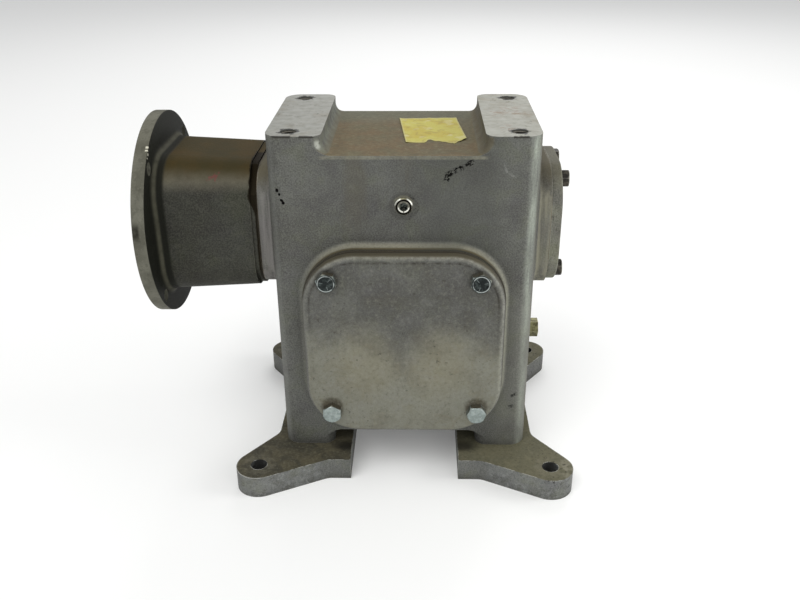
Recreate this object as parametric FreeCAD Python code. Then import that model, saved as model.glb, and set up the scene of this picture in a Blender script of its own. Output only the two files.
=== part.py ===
import FreeCAD, Part
import math
import os

# Worm gear reducer: worm on top, wheel below, motor adapter on the left, feet below.
# X runs along the worm from the motor side to the closed end, Y from front to back, Z up.
# The origin is the centre of the foot bolt holes, on the floor. Lengths in mm.

# Feet: two rails with four arms
FOOT_THICK = 19.05
FOOT_HOLE_X = 120.2
FOOT_HOLE_Y = 97.7
FOOT_HOLE_D = 13.5
FOOT_TIP_R = 18.6
FOOT_INNER_X = 45.0
FOOT_FRONT_Y = 90.3
FOOT_OUTER_X = 109.2
FOOT_HIP_X = 64.0
FOOT_WAIST_Y = 52.0
FOOT_BLEND_R = 14.0

# Housing casting
BODY_X = 102.0
BODY_Y = 67.0
BODY_H = 268.45
BODY_CORNER_R = 13.0
WALL = 9.0
PAD_INNER_X = 60.2
PAD_STEP = 14.5
PAD_CORNER_R = 9.0
PAD_ROOT_R = 9.5
PAD_HOLE_X = 85.2
PAD_HOLE_Y = 53.0
PAD_THREAD_D = 12.7
PAD_TAP_D = 12.4
PAD_THREAD_DEPTH = 24.0
POST_WALL = 6.0
COLLAR_LEAD = 1.0

# Gear pair
OUT_HEIGHT = 123.15
CENTRE_DIST = 82.55
MODULE = 3.175
TEETH = 40
STARTS = 2
PRESSURE_ANGLE = 20.0
TOOTH_GAP = 0.2
TIP_GAP = 0.8
THREAD_STEPS = 40
THREAD_SPARE = 0.6
THREAD_SINK = 0.6
WORM_LENGTH = 76.0
WORM_LAND = 3.0
RIM_WIDTH = 30.0
RIM_RISE = 1.35
RIM_BEVEL = 2.0
RIM_SLICES = 6
GAP_LEVELS = (0.0, 0.2, 0.45, 0.7, 1.0)
GAP_SPARE = 0.8
SWEEP_HALF = 0.4
SWEEP_STEPS = 200

# Front boss and cover
BOSS_HALF = 79.2
BOSS_CORNER_R = 43.0
BOSS_PROUD = 8.6
BOSS_ROOT_R = 4.5
COVER_MARGIN = 1.0
COVER_THICK = 10.2
COVER_EDGE_R = 4.5
COVER_OPENING_R = 70.5
COVER_BOLT_PITCH = 116.8
COVER_BOLT_D = 9.525
COVER_BOLT_AF = 14.29
COVER_BOLT_HEAD = 6.2
COVER_BOLT_GRIP = 14.0
COVER_CUP_LEAD = 3.0
COVER_POCKET_DRAFT = 4.0
COVER_RELIEF = 5.0
COVER_RELIEF_STEP = 6.0

# Worm bearing bosses, end cap and adapter
END_BOSS_HALF = 49.5
END_BOSS_R = 26.0
END_BOSS_X = 113.2
END_BOSS_ROOT_R = 4.0
CAP_THICK = 8.2
CAP_CORNER_R = 33.0
CAP_EDGE_R = 1.5
SPIGOT_WALL = 7.0
CAP_BOLT_Y = 28.2
CAP_BOLT_Z = 37.8
CAP_BOLT_D = 7.94
CAP_BOLT_AF = 12.7
CAP_BOLT_HEAD = 6.0
CAP_BOLT_GRIP = 14.0
ADAPTER_LENGTH = 88.9
FLANGE_R = 82.55
FLANGE_THICK = 9.9
TUBE_HALF = 52.4
TUBE_R = 28.0
TUBE_DRAFT = 3.0
TUBE_ROOT_R = 7.0
NECK_LENGTH = 4.8
NECK_STEP = 1.2
NECK_R = 59.0
PILOT_R = 57.15
PILOT_DEPTH = 6.0
MOTOR_BOLT_CIRCLE = 149.23
MOTOR_BOLT_D = 10.3
CAVITY_HALF = 46.6
WEB_THICK = 17.4
SOCKET_HEAD_R = 6.0
SOCKET_HEAD_H = 7.94
SOCKET_SHARE = 0.5
HEX_DOME_SHARE = 0.97

# Tapered roller bearings, one size at all four places
BRG_BORE = 41.275
BRG_OD = 73.431
BRG_WIDTH = 19.558
BRG_CUP = 14.73
BRG_ROLLERS = 15
BRG_ROLLER_D = 8.2
BRG_ROLLER_L = 12.4
BRG_ANGLE = 12.5
BRG_PLAY = 0.05
BRG_RIB = 1.4
BRG_RIB_HEIGHT = 3.44
BRG_TOE = 1.0
BRG_TOE_HEIGHT = 1.15
ROLLER_SIDES = 12
CAGE_RISE = 0.3
CAGE_WALL = 1.2
CAGE_END = 1.6
CAGE_PLAY = 0.1
WORM_BRG_X = 88.0
OUT_BRG_Y = 34.0

# Shafts and wheel hub
QUILL_D = 38.1
QUILL_BORE_D = 22.225
QUILL_DEPTH = 58.0
QUILL_KEY = 4.7625
QUILL_KEY_STOP = 4.0
QUILL_END_GAP = 8.5
SHOULDER_STEP = 4.0
SHOULDER_RUN = 4.0
SHOULDER_SLOPE = 5.0
SEAT_SPARE = 0.5
SHAFT_BEVEL = 1.5
HUB_LENGTH = 44.0
HUB_R = 33.0
HUB_RIM_R = 50.0
HUB_WEB = 12.0
HUB_BAND = 6.0
HUB_LIP = 2.0
HUB_DRAFT = 1.0
WHEEL_SEAT_D = 44.45
OUT_SHAFT_D = 34.925
OUT_SHAFT_LENGTH = 69.85
OUT_KEY = 7.9375
OUT_KEY_LENGTH = 50.8
OUT_KEY_STOP = 3.0
WHEEL_KEY = 9.525
WHEEL_KEY_STOP = 2.0
SEAL_WIDTH = 9.4
SEAL_OD = 57.15
SEAL_WALL = 2.0
SEAL_LIP_SHARE = 0.7
SEAL_LIP_SLOPE = 1.5
SEAL_SHOULDER = 3.0
SEAL_SPARE = 0.8
REAR_BOSS_R = 49.0
REAR_BOSS_PROUD = 10.0

# Plugs, thin pieces and foot screws
FILL_PLUG_Z = 234.2
FILL_PLUG_D = 13.7
FILL_PLUG_HEX = 6.35
FILL_PLUG_SOCKET = 6.0
FILL_PLUG_PROUD = 1.6
FILL_PLUG_BEVEL = 1.0
LEVEL_PLUG_Z = 97.3
LEVEL_PLUG_AF = 14.29
LEVEL_PLUG_D = 12.0
LEVEL_PLUG_NECK = 5.6
LEVEL_PLUG_HEAD = 8.4
GASKET = 0.4
FOOT_SCREW_HEAD_R = 9.5
FOOT_SCREW_HEAD_H = 12.7
FOOT_SCREW_SINK = 14.0

# Clearances, spare lengths and how far cutters and joined shapes reach past a face
FIT_GAP = 0.05
SPIGOT_GAP = 0.1
BOLT_PLAY = 0.4
HEAD_PLAY = 0.8
HOLE_SPARE = 2.0
PAST = 1.0
SINK = 0.5

# Places worked out from the sizes above
WORM_Z = OUT_HEIGHT + CENTRE_DIST
BODY_TOP = FOOT_THICK + BODY_H
TOP_FLOOR = BODY_TOP - PAD_STEP
BOTTOM_FLOOR = FOOT_THICK + PAD_STEP
BOSS_FACE_Y = -BODY_Y - BOSS_PROUD
COVER_BACK_Y = BOSS_FACE_Y - GASKET
COVER_FACE_Y = COVER_BACK_Y - COVER_THICK
JOINT_X = END_BOSS_X + GASKET
FLANGE_FACE_X = -JOINT_X - ADAPTER_LENGTH
WORM_PITCH_R = CENTRE_DIST - MODULE * TEETH / 2
WORM_TIP_R = WORM_PITCH_R + MODULE
WORM_ROOT_R = WORM_PITCH_R - MODULE - TIP_GAP
WHEEL_PITCH_R = MODULE * TEETH / 2
THROAT_R = WORM_ROOT_R + TIP_GAP
RIM_EDGE_R = WHEEL_PITCH_R + RIM_RISE * MODULE
LEAD = math.pi * MODULE * STARTS
WORM_BRG_OUT = WORM_BRG_X + BRG_WIDTH
OUT_BRG_OUT = OUT_BRG_Y + BRG_WIDTH
BORE_R = BRG_OD / 2 + FIT_GAP
REAR_FACE_Y = BODY_Y + REAR_BOSS_PROUD
WEB_X = -JOINT_X - WEB_THICK
QUILL_END_X = FLANGE_FACE_X + QUILL_END_GAP
OUT_SHAFT_END = REAR_FACE_Y + OUT_SHAFT_LENGTH


def vec(x, y, z):
    return FreeCAD.Vector(x, y, z)


def box(x0, x1, y0, y1, z0, z1):
    return Part.makeBox(x1 - x0, y1 - y0, z1 - z0, vec(x0, y0, z0))


def rod_x(x0, x1, r, y=0.0, z=WORM_Z):
    return Part.makeCylinder(r, x1 - x0, vec(x0, y, z), vec(1, 0, 0))


def rod_y(y0, y1, r, x=0.0, z=OUT_HEIGHT):
    return Part.makeCylinder(r, y1 - y0, vec(x, y0, z), vec(0, 1, 0))


def rod_z(z0, z1, r, x, y):
    return Part.makeCylinder(r, z1 - z0, vec(x, y, z0), vec(0, 0, 1))


def union(shapes):
    joined = shapes[0].fuse(list(shapes[1:]))
    return joined.removeSplitter()


def rounded_wire(half_a, half_b, r, place):
    """Closed rounded rectangle; place maps its two plane coordinates to a point."""
    a = half_a - r
    b = half_b - r
    d = r * math.sqrt(0.5)
    edges = []
    corners = [(a, -b, 1, -1), (a, b, 1, 1), (-a, b, -1, 1), (-a, -b, -1, -1)]
    starts = [(half_a, -b), (a, half_b), (-half_a, b), (-a, -half_b)]
    ends = [(half_a, b), (-a, half_b), (-half_a, -b), (a, -half_b)]
    for i in range(4):
        if math.dist(starts[i], ends[i]) > 0.001:
            edges.append(Part.makeLine(place(*starts[i]), place(*ends[i])))
        ca, cb, sa, sb = corners[(i + 1) % 4]
        middle = place(ca + sa * d, cb + sb * d)
        after = starts[(i + 1) % 4]
        edges.append(Part.Arc(place(*ends[i]), middle, place(*after)).toShape())
    return Part.Wire(edges)


def rounded_block_x(x0, x1, half, r, z=WORM_Z):
    wire = rounded_wire(half, half, r, lambda a, b: vec(x0, a, z + b))
    return Part.Face(wire).extrude(vec(x1 - x0, 0, 0))


def rounded_block_y(y0, y1, half, r, z=OUT_HEIGHT):
    wire = rounded_wire(half, half, r, lambda a, b: vec(a, y0, z + b))
    return Part.Face(wire).extrude(vec(0, y1 - y0, 0))


def rounded_block_z(z0, z1, half_x, half_y, r, x=0.0):
    wire = rounded_wire(half_x, half_y, r, lambda a, b: vec(x + a, b, z0))
    return Part.Face(wire).extrude(vec(0, 0, z1 - z0))


def revolve_x(profile, z=WORM_Z):
    """Turn a closed outline of (x, radius) points about the worm axis."""
    points = [vec(x, 0, z + r) for x, r in profile]
    face = Part.Face(Part.makePolygon(points + points[:1]))
    return face.revolve(vec(0, 0, z), vec(1, 0, 0), 360)


def revolve_y(profile, z=OUT_HEIGHT):
    """Turn a closed outline of (y, radius) points about the output axis."""
    points = [vec(0, y, z + r) for y, r in profile]
    face = Part.Face(Part.makePolygon(points + points[:1]))
    return face.revolve(vec(0, 0, z), vec(0, 1, 0), 360)


def hex_prism(across_flats, start, along, turn=0.0):
    """Six-sided bar from start, as long as the vector along."""
    axis = FreeCAD.Vector(along).normalize()
    side = vec(0, 0, 1) if abs(axis.z) < 0.9 else vec(1, 0, 0)
    other = axis.cross(side)
    corner = across_flats / math.sqrt(3)
    points = []
    for i in range(6):
        a = math.radians(60 * i + turn)
        points.append(start + side * (corner * math.cos(a)) + other * (corner * math.sin(a)))
    face = Part.Face(Part.makePolygon(points + points[:1]))
    return face.extrude(along)


def hex_bolt(seat, inward, d, across_flats, head, length, turn=0.0):
    """Hex head bolt: seat is under the head, inward points along the shank."""
    head_bar = hex_prism(across_flats, seat, inward * -head, turn)
    cone_r = across_flats / 2 * HEX_DOME_SHARE
    top = seat - inward * head
    dome = Part.makeCone(cone_r, cone_r + across_flats, across_flats, top, inward)
    shank = Part.makeCylinder(d / 2, length, seat, inward)
    return union([head_bar.common(dome), shank])


def socket_screw(seat, inward, d, head_r, head_h, length):
    """Socket head screw with a hex recess in its head."""
    head = Part.makeCylinder(head_r, head_h, seat, inward * -1)
    shank = Part.makeCylinder(d / 2, length, seat, inward)
    recess = hex_prism(head_r, seat - inward * head_h, inward * (head_h * SOCKET_SHARE))
    return union([head, shank]).cut(recess)


def worm_bolt_places():
    return [(sy * CAP_BOLT_Y, sz * CAP_BOLT_Z) for sy in (-1, 1) for sz in (-1, 1)]


def cover_bolt_places():
    half = COVER_BOLT_PITCH / 2
    return [(sx * half, sz * half) for sx in (-1, 1) for sz in (-1, 1)]


def pad_places():
    return [(sx * PAD_HOLE_X, sy * PAD_HOLE_Y) for sx in (-1, 1) for sy in (-1, 1)]


def housing_block():
    """Body with a pad at each end of its top and its underside, joined by shallow channels."""
    reach = BODY_CORNER_R + PAD_ROOT_R
    pad_half = (BODY_X + 2 * reach - PAD_INNER_X) / 2
    pad_x = PAD_INNER_X + pad_half
    far_x = BODY_X + PAST
    far_y = BODY_Y + PAST
    slab = box(-far_x, far_x, -BODY_Y - reach, BODY_Y + reach, BOTTOM_FLOOR, TOP_FLOOR)
    near = box(-far_x, far_x, -far_y, far_y, FOOT_THICK, BODY_TOP)
    pieces = [slab]
    for side in (-1, 1):
        for z0, z1 in ((TOP_FLOOR, BODY_TOP), (FOOT_THICK, BOTTOM_FLOOR)):
            pad = rounded_block_z(z0, z1, pad_half, BODY_Y, PAD_CORNER_R, side * pad_x)
            pieces.append(pad.common(near))
    block = union(pieces)
    roots = []
    for edge in block.Edges:
        level = edge.BoundBox.ZMin
        flat = edge.BoundBox.ZLength < 0.001
        on_floor = min(abs(level - TOP_FLOOR), abs(level - BOTTOM_FLOOR)) < 0.001
        inside = edge.BoundBox.YMax < BODY_Y + 0.001 and edge.BoundBox.YMin > -BODY_Y - 0.001
        if flat and on_floor and inside:
            roots.append(edge)
    block = block.makeFillet(PAD_ROOT_R, roots)
    plan = rounded_block_z(FOOT_THICK, BODY_TOP, BODY_X, BODY_Y, BODY_CORNER_R)
    return block.common(plan)


def root_edges(shape, axis, level, half, centre_z):
    """Edges of a boss outline where it stands on a flat wall."""
    found = []
    for edge in shape.Edges:
        bb = edge.BoundBox
        low = (bb.XMin, bb.YMin)[axis]
        high = (bb.XMax, bb.YMax)[axis]
        if abs(low - level) > 0.01 or abs(high - level) > 0.01:
            continue
        across = max(abs(bb.YMin), abs(bb.YMax)) if axis == 0 else max(abs(bb.XMin), abs(bb.XMax))
        tall = max(abs(bb.ZMin - centre_z), abs(bb.ZMax - centre_z))
        if max(across, tall) < half + 0.01 and max(across, tall) > half - BOSS_CORNER_R:
            found.append(edge)
    return found


def housing_cavity():
    """Hollow of the casting, less the bearing collars and the posts round the tapped holes."""
    cavity = rounded_block_z(BOTTOM_FLOOR + WALL, TOP_FLOOR - WALL, BODY_X - WALL,
                             BODY_Y - WALL, WALL)
    collar_r = BORE_R + WALL
    solid = [rod_y(OUT_BRG_Y, BODY_Y - WALL / 2, collar_r)]
    for side in (-1, 1):
        x = side * (WORM_BRG_X - COLLAR_LEAD)
        far = side * (BODY_X - WALL / 2)
        solid.append(rod_x(min(x, far), max(x, far), collar_r))
    post_r = PAD_THREAD_D / 2 + POST_WALL
    post = PAD_THREAD_DEPTH + POST_WALL
    for x, y in pad_places():
        solid.append(rod_z(BODY_TOP - post, BODY_TOP, post_r, x, y))
        solid.append(rod_z(FOOT_THICK, FOOT_THICK + post, post_r, x, y))
    post_r = COVER_BOLT_D / 2 + POST_WALL
    post = COVER_BOLT_GRIP + POST_WALL
    for x, z in cover_bolt_places():
        solid.append(rod_y(-BODY_Y, -BODY_Y + post, post_r, x, OUT_HEIGHT + z))
    return cavity.cut(solid)


def housing():
    body = housing_block()
    front_boss = rounded_block_y(BOSS_FACE_Y, -BODY_Y + WALL / 2, BOSS_HALF, BOSS_CORNER_R)
    rear_boss = rod_y(BODY_Y - WALL / 2, REAR_FACE_Y, REAR_BOSS_R)
    left_boss = rounded_block_x(-END_BOSS_X, -BODY_X + WALL / 2, END_BOSS_HALF, END_BOSS_R)
    right_boss = rounded_block_x(BODY_X - WALL / 2, END_BOSS_X, END_BOSS_HALF, END_BOSS_R)
    body = union([body, front_boss, rear_boss, left_boss, right_boss])
    body = body.makeFillet(BOSS_ROOT_R, root_edges(body, 1, -BODY_Y, BOSS_HALF, OUT_HEIGHT))
    for side in (-1, 1):
        roots = root_edges(body, 0, side * BODY_X, END_BOSS_HALF, WORM_Z)
        body = body.makeFillet(END_BOSS_ROOT_R, roots)
    body = body.cut(housing_cavity())
    bores = [rod_x(-END_BOSS_X - PAST, END_BOSS_X + PAST, BORE_R)]
    bores.append(rod_y(BOSS_FACE_Y - PAST, 0, COVER_OPENING_R))
    bores.append(rod_y(0, OUT_BRG_OUT, BORE_R))
    bores.append(rod_y(0, REAR_FACE_Y + PAST, SEAL_OD / 2 - SEAL_SHOULDER))
    seal_y = REAR_FACE_Y - SEAL_WIDTH - SEAL_SPARE
    bores.append(rod_y(seal_y, REAR_FACE_Y + PAST, SEAL_OD / 2 + FIT_GAP))
    hole_r = COVER_BOLT_D / 2 + FIT_GAP
    depth = -BODY_Y + COVER_BOLT_GRIP
    for x, z in cover_bolt_places():
        bores.append(rod_y(BOSS_FACE_Y - PAST, depth, hole_r, x, OUT_HEIGHT + z))
    hole_r = CAP_BOLT_D / 2 + FIT_GAP
    inner = END_BOSS_X - CAP_BOLT_GRIP - HOLE_SPARE
    outer = END_BOSS_X + PAST
    for y, z in worm_bolt_places():
        bores.append(rod_x(inner, outer, hole_r, y, WORM_Z + z))
        bores.append(rod_x(-outer, -inner, hole_r, y, WORM_Z + z))
    hole_r = PAD_THREAD_D / 2 + FIT_GAP
    for x, y in pad_places():
        bores.append(rod_z(BODY_TOP - PAD_THREAD_DEPTH, BODY_TOP + PAST, PAD_TAP_D / 2, x, y))
        bores.append(rod_z(FOOT_THICK - PAST, FOOT_THICK + PAD_THREAD_DEPTH, hole_r, x, y))
    wall_y = -BODY_Y + WALL + PAST
    bores.append(rod_y(-BODY_Y - PAST, wall_y, FILL_PLUG_D / 2 + FIT_GAP, 0, FILL_PLUG_Z))
    wall_x = BODY_X - WALL - PAST
    bores.append(rod_x(wall_x, BODY_X + PAST, LEVEL_PLUG_D / 2 + FIT_GAP, 0, LEVEL_PLUG_Z))
    return body.cut(bores)


def output_cover():
    """Flat plate with a soft front edge, a spigot and the front bearing pocket behind it."""
    half = BOSS_HALF - COVER_MARGIN
    plate = rounded_block_y(COVER_FACE_Y, COVER_BACK_Y, half, BOSS_CORNER_R - COVER_MARGIN)
    rim = [e for e in plate.Edges if e.BoundBox.YMax < COVER_FACE_Y + 0.01]
    plate = plate.makeFillet(COVER_EDGE_R, rim)
    spigot_r = COVER_OPENING_R - SPIGOT_GAP
    spigot_y = -BODY_Y - PAST
    floor_y = COVER_BACK_Y + SINK
    pocket_r = BORE_R + WALL
    seat_y = -OUT_BRG_Y - COVER_CUP_LEAD
    relief_r = BORE_R - COVER_RELIEF_STEP
    relief_y = -OUT_BRG_OUT - COVER_RELIEF
    core = revolve_y([(COVER_BACK_Y - PAST, 0), (COVER_BACK_Y - PAST, spigot_r),
                      (spigot_y, spigot_r), (spigot_y, spigot_r - WALL),
                      (floor_y, spigot_r - WALL), (floor_y, pocket_r + COVER_POCKET_DRAFT),
                      (-OUT_BRG_OUT, pocket_r), (seat_y, pocket_r), (seat_y, BORE_R),
                      (-OUT_BRG_OUT, BORE_R), (-OUT_BRG_OUT, relief_r), (relief_y, relief_r),
                      (relief_y, 0)])
    return union([plate, core]).cut(cover_bolt_holes(COVER_FACE_Y))


def cover_bolt_holes(front_y):
    """Clearance holes for the cover bolts, from front_y to the boss."""
    r = COVER_BOLT_D / 2 + BOLT_PLAY
    return [rod_y(front_y - PAST, BOSS_FACE_Y + PAST, r, x, OUT_HEIGHT + z)
            for x, z in cover_bolt_places()]


def cover_gasket():
    sheet = rounded_block_y(COVER_BACK_Y, BOSS_FACE_Y, BOSS_HALF - COVER_MARGIN,
                            BOSS_CORNER_R - COVER_MARGIN)
    opening = rod_y(COVER_BACK_Y - PAST, BOSS_FACE_Y + PAST, COVER_OPENING_R)
    return sheet.cut([opening] + cover_bolt_holes(COVER_BACK_Y))


def cover_bolts():
    bolts = []
    length = COVER_THICK + GASKET + BOSS_PROUD + COVER_BOLT_GRIP - HOLE_SPARE
    for i, (x, z) in enumerate(cover_bolt_places()):
        seat = vec(x, COVER_FACE_Y, OUT_HEIGHT + z)
        bolts.append(hex_bolt(seat, vec(0, 1, 0), COVER_BOLT_D, COVER_BOLT_AF,
                              COVER_BOLT_HEAD, length, 17.0 * i))
    return Part.makeCompound(bolts)


def end_bolt_holes(x0, x1):
    """Clearance holes for the four bolts round a worm bearing, from x0 to x1."""
    r = CAP_BOLT_D / 2 + BOLT_PLAY
    return [rod_x(x0 - PAST, x1 + PAST, r, y, WORM_Z + z) for y, z in worm_bolt_places()]


def end_cap():
    """Closed cap with a spigot that bears on the right-hand bearing cup."""
    face_x = JOINT_X + CAP_THICK
    plate = rounded_block_x(JOINT_X, face_x, END_BOSS_HALF, CAP_CORNER_R)
    rim = [e for e in plate.Edges if e.BoundBox.XMin > face_x - 0.01]
    plate = plate.makeFillet(CAP_EDGE_R, rim)
    spigot_r = BORE_R - SPIGOT_GAP
    cap = union([plate, rod_x(WORM_BRG_OUT, JOINT_X + SINK, spigot_r)])
    hollow = rod_x(WORM_BRG_OUT - PAST, JOINT_X + HOLE_SPARE, spigot_r - SPIGOT_WALL)
    return cap.cut([hollow] + end_bolt_holes(JOINT_X, face_x))


def end_gasket(side, corner_r):
    x0 = min(side * END_BOSS_X, side * JOINT_X)
    x1 = max(side * END_BOSS_X, side * JOINT_X)
    sheet = rounded_block_x(x0, x1, END_BOSS_HALF, corner_r)
    return sheet.cut([rod_x(x0 - PAST, x1 + PAST, BORE_R)] + end_bolt_holes(x0, x1))


def end_cap_bolts():
    bolts = []
    length = CAP_THICK + GASKET + CAP_BOLT_GRIP
    for i, (y, z) in enumerate(worm_bolt_places()):
        seat = vec(JOINT_X + CAP_THICK, y, WORM_Z + z)
        bolts.append(hex_bolt(seat, vec(-1, 0, 0), CAP_BOLT_D, CAP_BOLT_AF,
                              CAP_BOLT_HEAD, length, 11.0 * i))
    return Part.makeCompound(bolts)


def motor_adapter():
    """Round motor flange on a tapered rounded-square tube, with the input seal seat in its web."""
    back_x = FLANGE_FACE_X + FLANGE_THICK
    neck_x = -JOINT_X - NECK_LENGTH
    grow = (neck_x - back_x) * math.tan(math.radians(TUBE_DRAFT))
    near = rounded_wire(TUBE_HALF, TUBE_HALF, TUBE_R, lambda a, b: vec(neck_x, a, WORM_Z + b))
    far = rounded_wire(TUBE_HALF + grow, TUBE_HALF + grow, TUBE_R + grow,
                       lambda a, b: vec(back_x, a, WORM_Z + b))
    tube = Part.makeLoft([near, far], True, True)
    flange = rod_x(FLANGE_FACE_X, back_x, FLANGE_R)
    body = union([tube, flange])
    roots = []
    for edge in body.Edges:
        bb = edge.BoundBox
        if abs(bb.XMin - back_x) < 0.01 and bb.XLength < 0.01 and bb.ZMax < WORM_Z + FLANGE_R - 1:
            roots.append(edge)
    body = body.makeFillet(TUBE_ROOT_R, roots)
    neck = rounded_block_x(neck_x, -JOINT_X, TUBE_HALF - NECK_STEP, TUBE_R)
    neck = neck.common(rod_x(neck_x, -JOINT_X, NECK_R))
    spigot_r = BORE_R - SPIGOT_GAP
    spigot = rod_x(-JOINT_X - SINK, -WORM_BRG_OUT, spigot_r)
    body = union([body, neck, spigot])
    pilot_x = FLANGE_FACE_X + PILOT_DEPTH
    hollow_x = -JOINT_X - HOLE_SPARE
    cuts = [rod_x(FLANGE_FACE_X - PAST, pilot_x, PILOT_R)]
    cuts.append(rounded_block_x(pilot_x - PAST, WEB_X, CAVITY_HALF, TUBE_R))
    cuts.append(rod_x(WEB_X - PAST, WEB_X + SEAL_WIDTH + SEAL_SPARE, SEAL_OD / 2 + FIT_GAP))
    cuts.append(rod_x(WEB_X - PAST, hollow_x, SEAL_OD / 2 - SEAL_SHOULDER))
    cuts.append(rod_x(hollow_x, -WORM_BRG_OUT + PAST, spigot_r - SPIGOT_WALL))
    cuts.extend(end_bolt_holes(WEB_X, -JOINT_X))
    for i in range(4):
        a = math.radians(45 + 90 * i)
        y = MOTOR_BOLT_CIRCLE / 2 * math.cos(a)
        z = WORM_Z + MOTOR_BOLT_CIRCLE / 2 * math.sin(a)
        cuts.append(rod_x(FLANGE_FACE_X - PAST, back_x + TUBE_ROOT_R, MOTOR_BOLT_D / 2, y, z))
    return body.cut(cuts)


def adapter_bolts():
    bolts = []
    length = WEB_THICK + GASKET + CAP_BOLT_GRIP
    for y, z in worm_bolt_places():
        seat = vec(WEB_X, y, WORM_Z + z)
        bolts.append(socket_screw(seat, vec(1, 0, 0), CAP_BOLT_D, SOCKET_HEAD_R,
                                  SOCKET_HEAD_H, length))
    return Part.makeCompound(bolts)


def foot_outline(side):
    """Plan of one rail: a straight bar with an arm to each hole, blended at hip and waist."""
    hole = (FOOT_HOLE_X, -FOOT_HOLE_Y)

    def tangent_point(outer, turn):
        dx = hole[0] - outer[0]
        dy = hole[1] - outer[1]
        distance = math.hypot(dx, dy)
        swing = math.asin(FOOT_TIP_R / distance)
        direction = math.atan2(dy, dx) + turn * swing
        reach = math.sqrt(distance ** 2 - FOOT_TIP_R ** 2)
        return (outer[0] + reach * math.cos(direction), outer[1] + reach * math.sin(direction))

    hip = (FOOT_HIP_X, -FOOT_FRONT_Y)
    waist = (FOOT_OUTER_X, -FOOT_WAIST_Y)
    front = tangent_point(hip, -1)
    back = tangent_point(waist, 1)
    away = math.hypot(hole[0] - FOOT_OUTER_X / 2, hole[1])
    tip = (hole[0] + FOOT_TIP_R * (hole[0] - FOOT_OUTER_X / 2) / away,
           hole[1] + FOOT_TIP_R * hole[1] / away)
    inner = (FOOT_INNER_X, -FOOT_FRONT_Y)

    def at(point, flip=1):
        return vec(side * point[0], flip * point[1], 0)

    edges = [Part.makeLine(at(waist), at(waist, -1)), Part.makeLine(at(inner, -1), at(inner))]
    for flip in (1, -1):
        edges.append(Part.makeLine(at(inner, flip), at(hip, flip)))
        edges.append(Part.makeLine(at(hip, flip), at(front, flip)))
        edges.append(Part.Arc(at(front, flip), at(tip, flip), at(back, flip)).toShape())
        edges.append(Part.makeLine(at(back, flip), at(waist, flip)))
    return Part.Wire(Part.sortEdges(edges)[0])


def foot(side):
    rail = Part.Face(foot_outline(side)).extrude(vec(0, 0, FOOT_THICK))
    bends = []
    for edge in rail.Edges:
        bb = edge.BoundBox
        if bb.ZLength < FOOT_THICK - 0.01 or bb.XLength > 0.01:
            continue
        x = abs(bb.XMin)
        y = abs(bb.YMin)
        at_hip = abs(x - FOOT_HIP_X) < 0.01 and abs(y - FOOT_FRONT_Y) < 0.01
        at_waist = abs(x - FOOT_OUTER_X) < 0.01 and abs(y - FOOT_WAIST_Y) < 0.01
        if at_hip or at_waist:
            bends.append(edge)
    rail = rail.makeFillet(FOOT_BLEND_R, bends)
    cuts = []
    top = FOOT_THICK + PAST
    for end in (-1, 1):
        x = side * FOOT_HOLE_X
        cuts.append(rod_z(-PAST, top, FOOT_HOLE_D / 2, x, end * FOOT_HOLE_Y))
        x = side * PAD_HOLE_X
        y = end * PAD_HOLE_Y
        cuts.append(rod_z(-PAST, top, PAD_THREAD_D / 2 + BOLT_PLAY, x, y))
        cuts.append(rod_z(-PAST, FOOT_SCREW_SINK, FOOT_SCREW_HEAD_R + HEAD_PLAY, x, y))
    return rail.cut(cuts)


def foot_screws():
    screws = []
    length = FOOT_THICK - FOOT_SCREW_SINK + PAD_THREAD_DEPTH - HOLE_SPARE
    for x, y in pad_places():
        seat = vec(x, y, FOOT_SCREW_SINK)
        screws.append(socket_screw(seat, vec(0, 0, 1), PAD_THREAD_D, FOOT_SCREW_HEAD_R,
                                   FOOT_SCREW_HEAD_H, length))
    return Part.makeCompound(screws)


def fill_plug():
    """Flush pipe plug with a hex socket, standing a little proud of the front wall."""
    face_y = -BODY_Y - FILL_PLUG_PROUD
    body = rod_y(face_y, -BODY_Y + WALL - PAST, FILL_PLUG_D / 2, 0, FILL_PLUG_Z)
    rim = [e for e in body.Edges if e.BoundBox.YMax < face_y + 0.01]
    body = body.makeChamfer(FILL_PLUG_BEVEL, rim)
    depth = vec(0, PAST + FILL_PLUG_SOCKET, 0)
    return body.cut(hex_prism(FILL_PLUG_HEX, vec(0, face_y - PAST, FILL_PLUG_Z), depth))


def level_plug():
    """Hex head pipe plug in the right wall, with its taper thread partly in view."""
    head_x = BODY_X + LEVEL_PLUG_NECK
    shank = rod_x(BODY_X - WALL + PAST, head_x + SINK, LEVEL_PLUG_D / 2, 0, LEVEL_PLUG_Z)
    start = vec(head_x, 0, LEVEL_PLUG_Z)
    return union([shank, hex_prism(LEVEL_PLUG_AF, start, vec(LEVEL_PLUG_HEAD, 0, 0), 30)])


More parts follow.
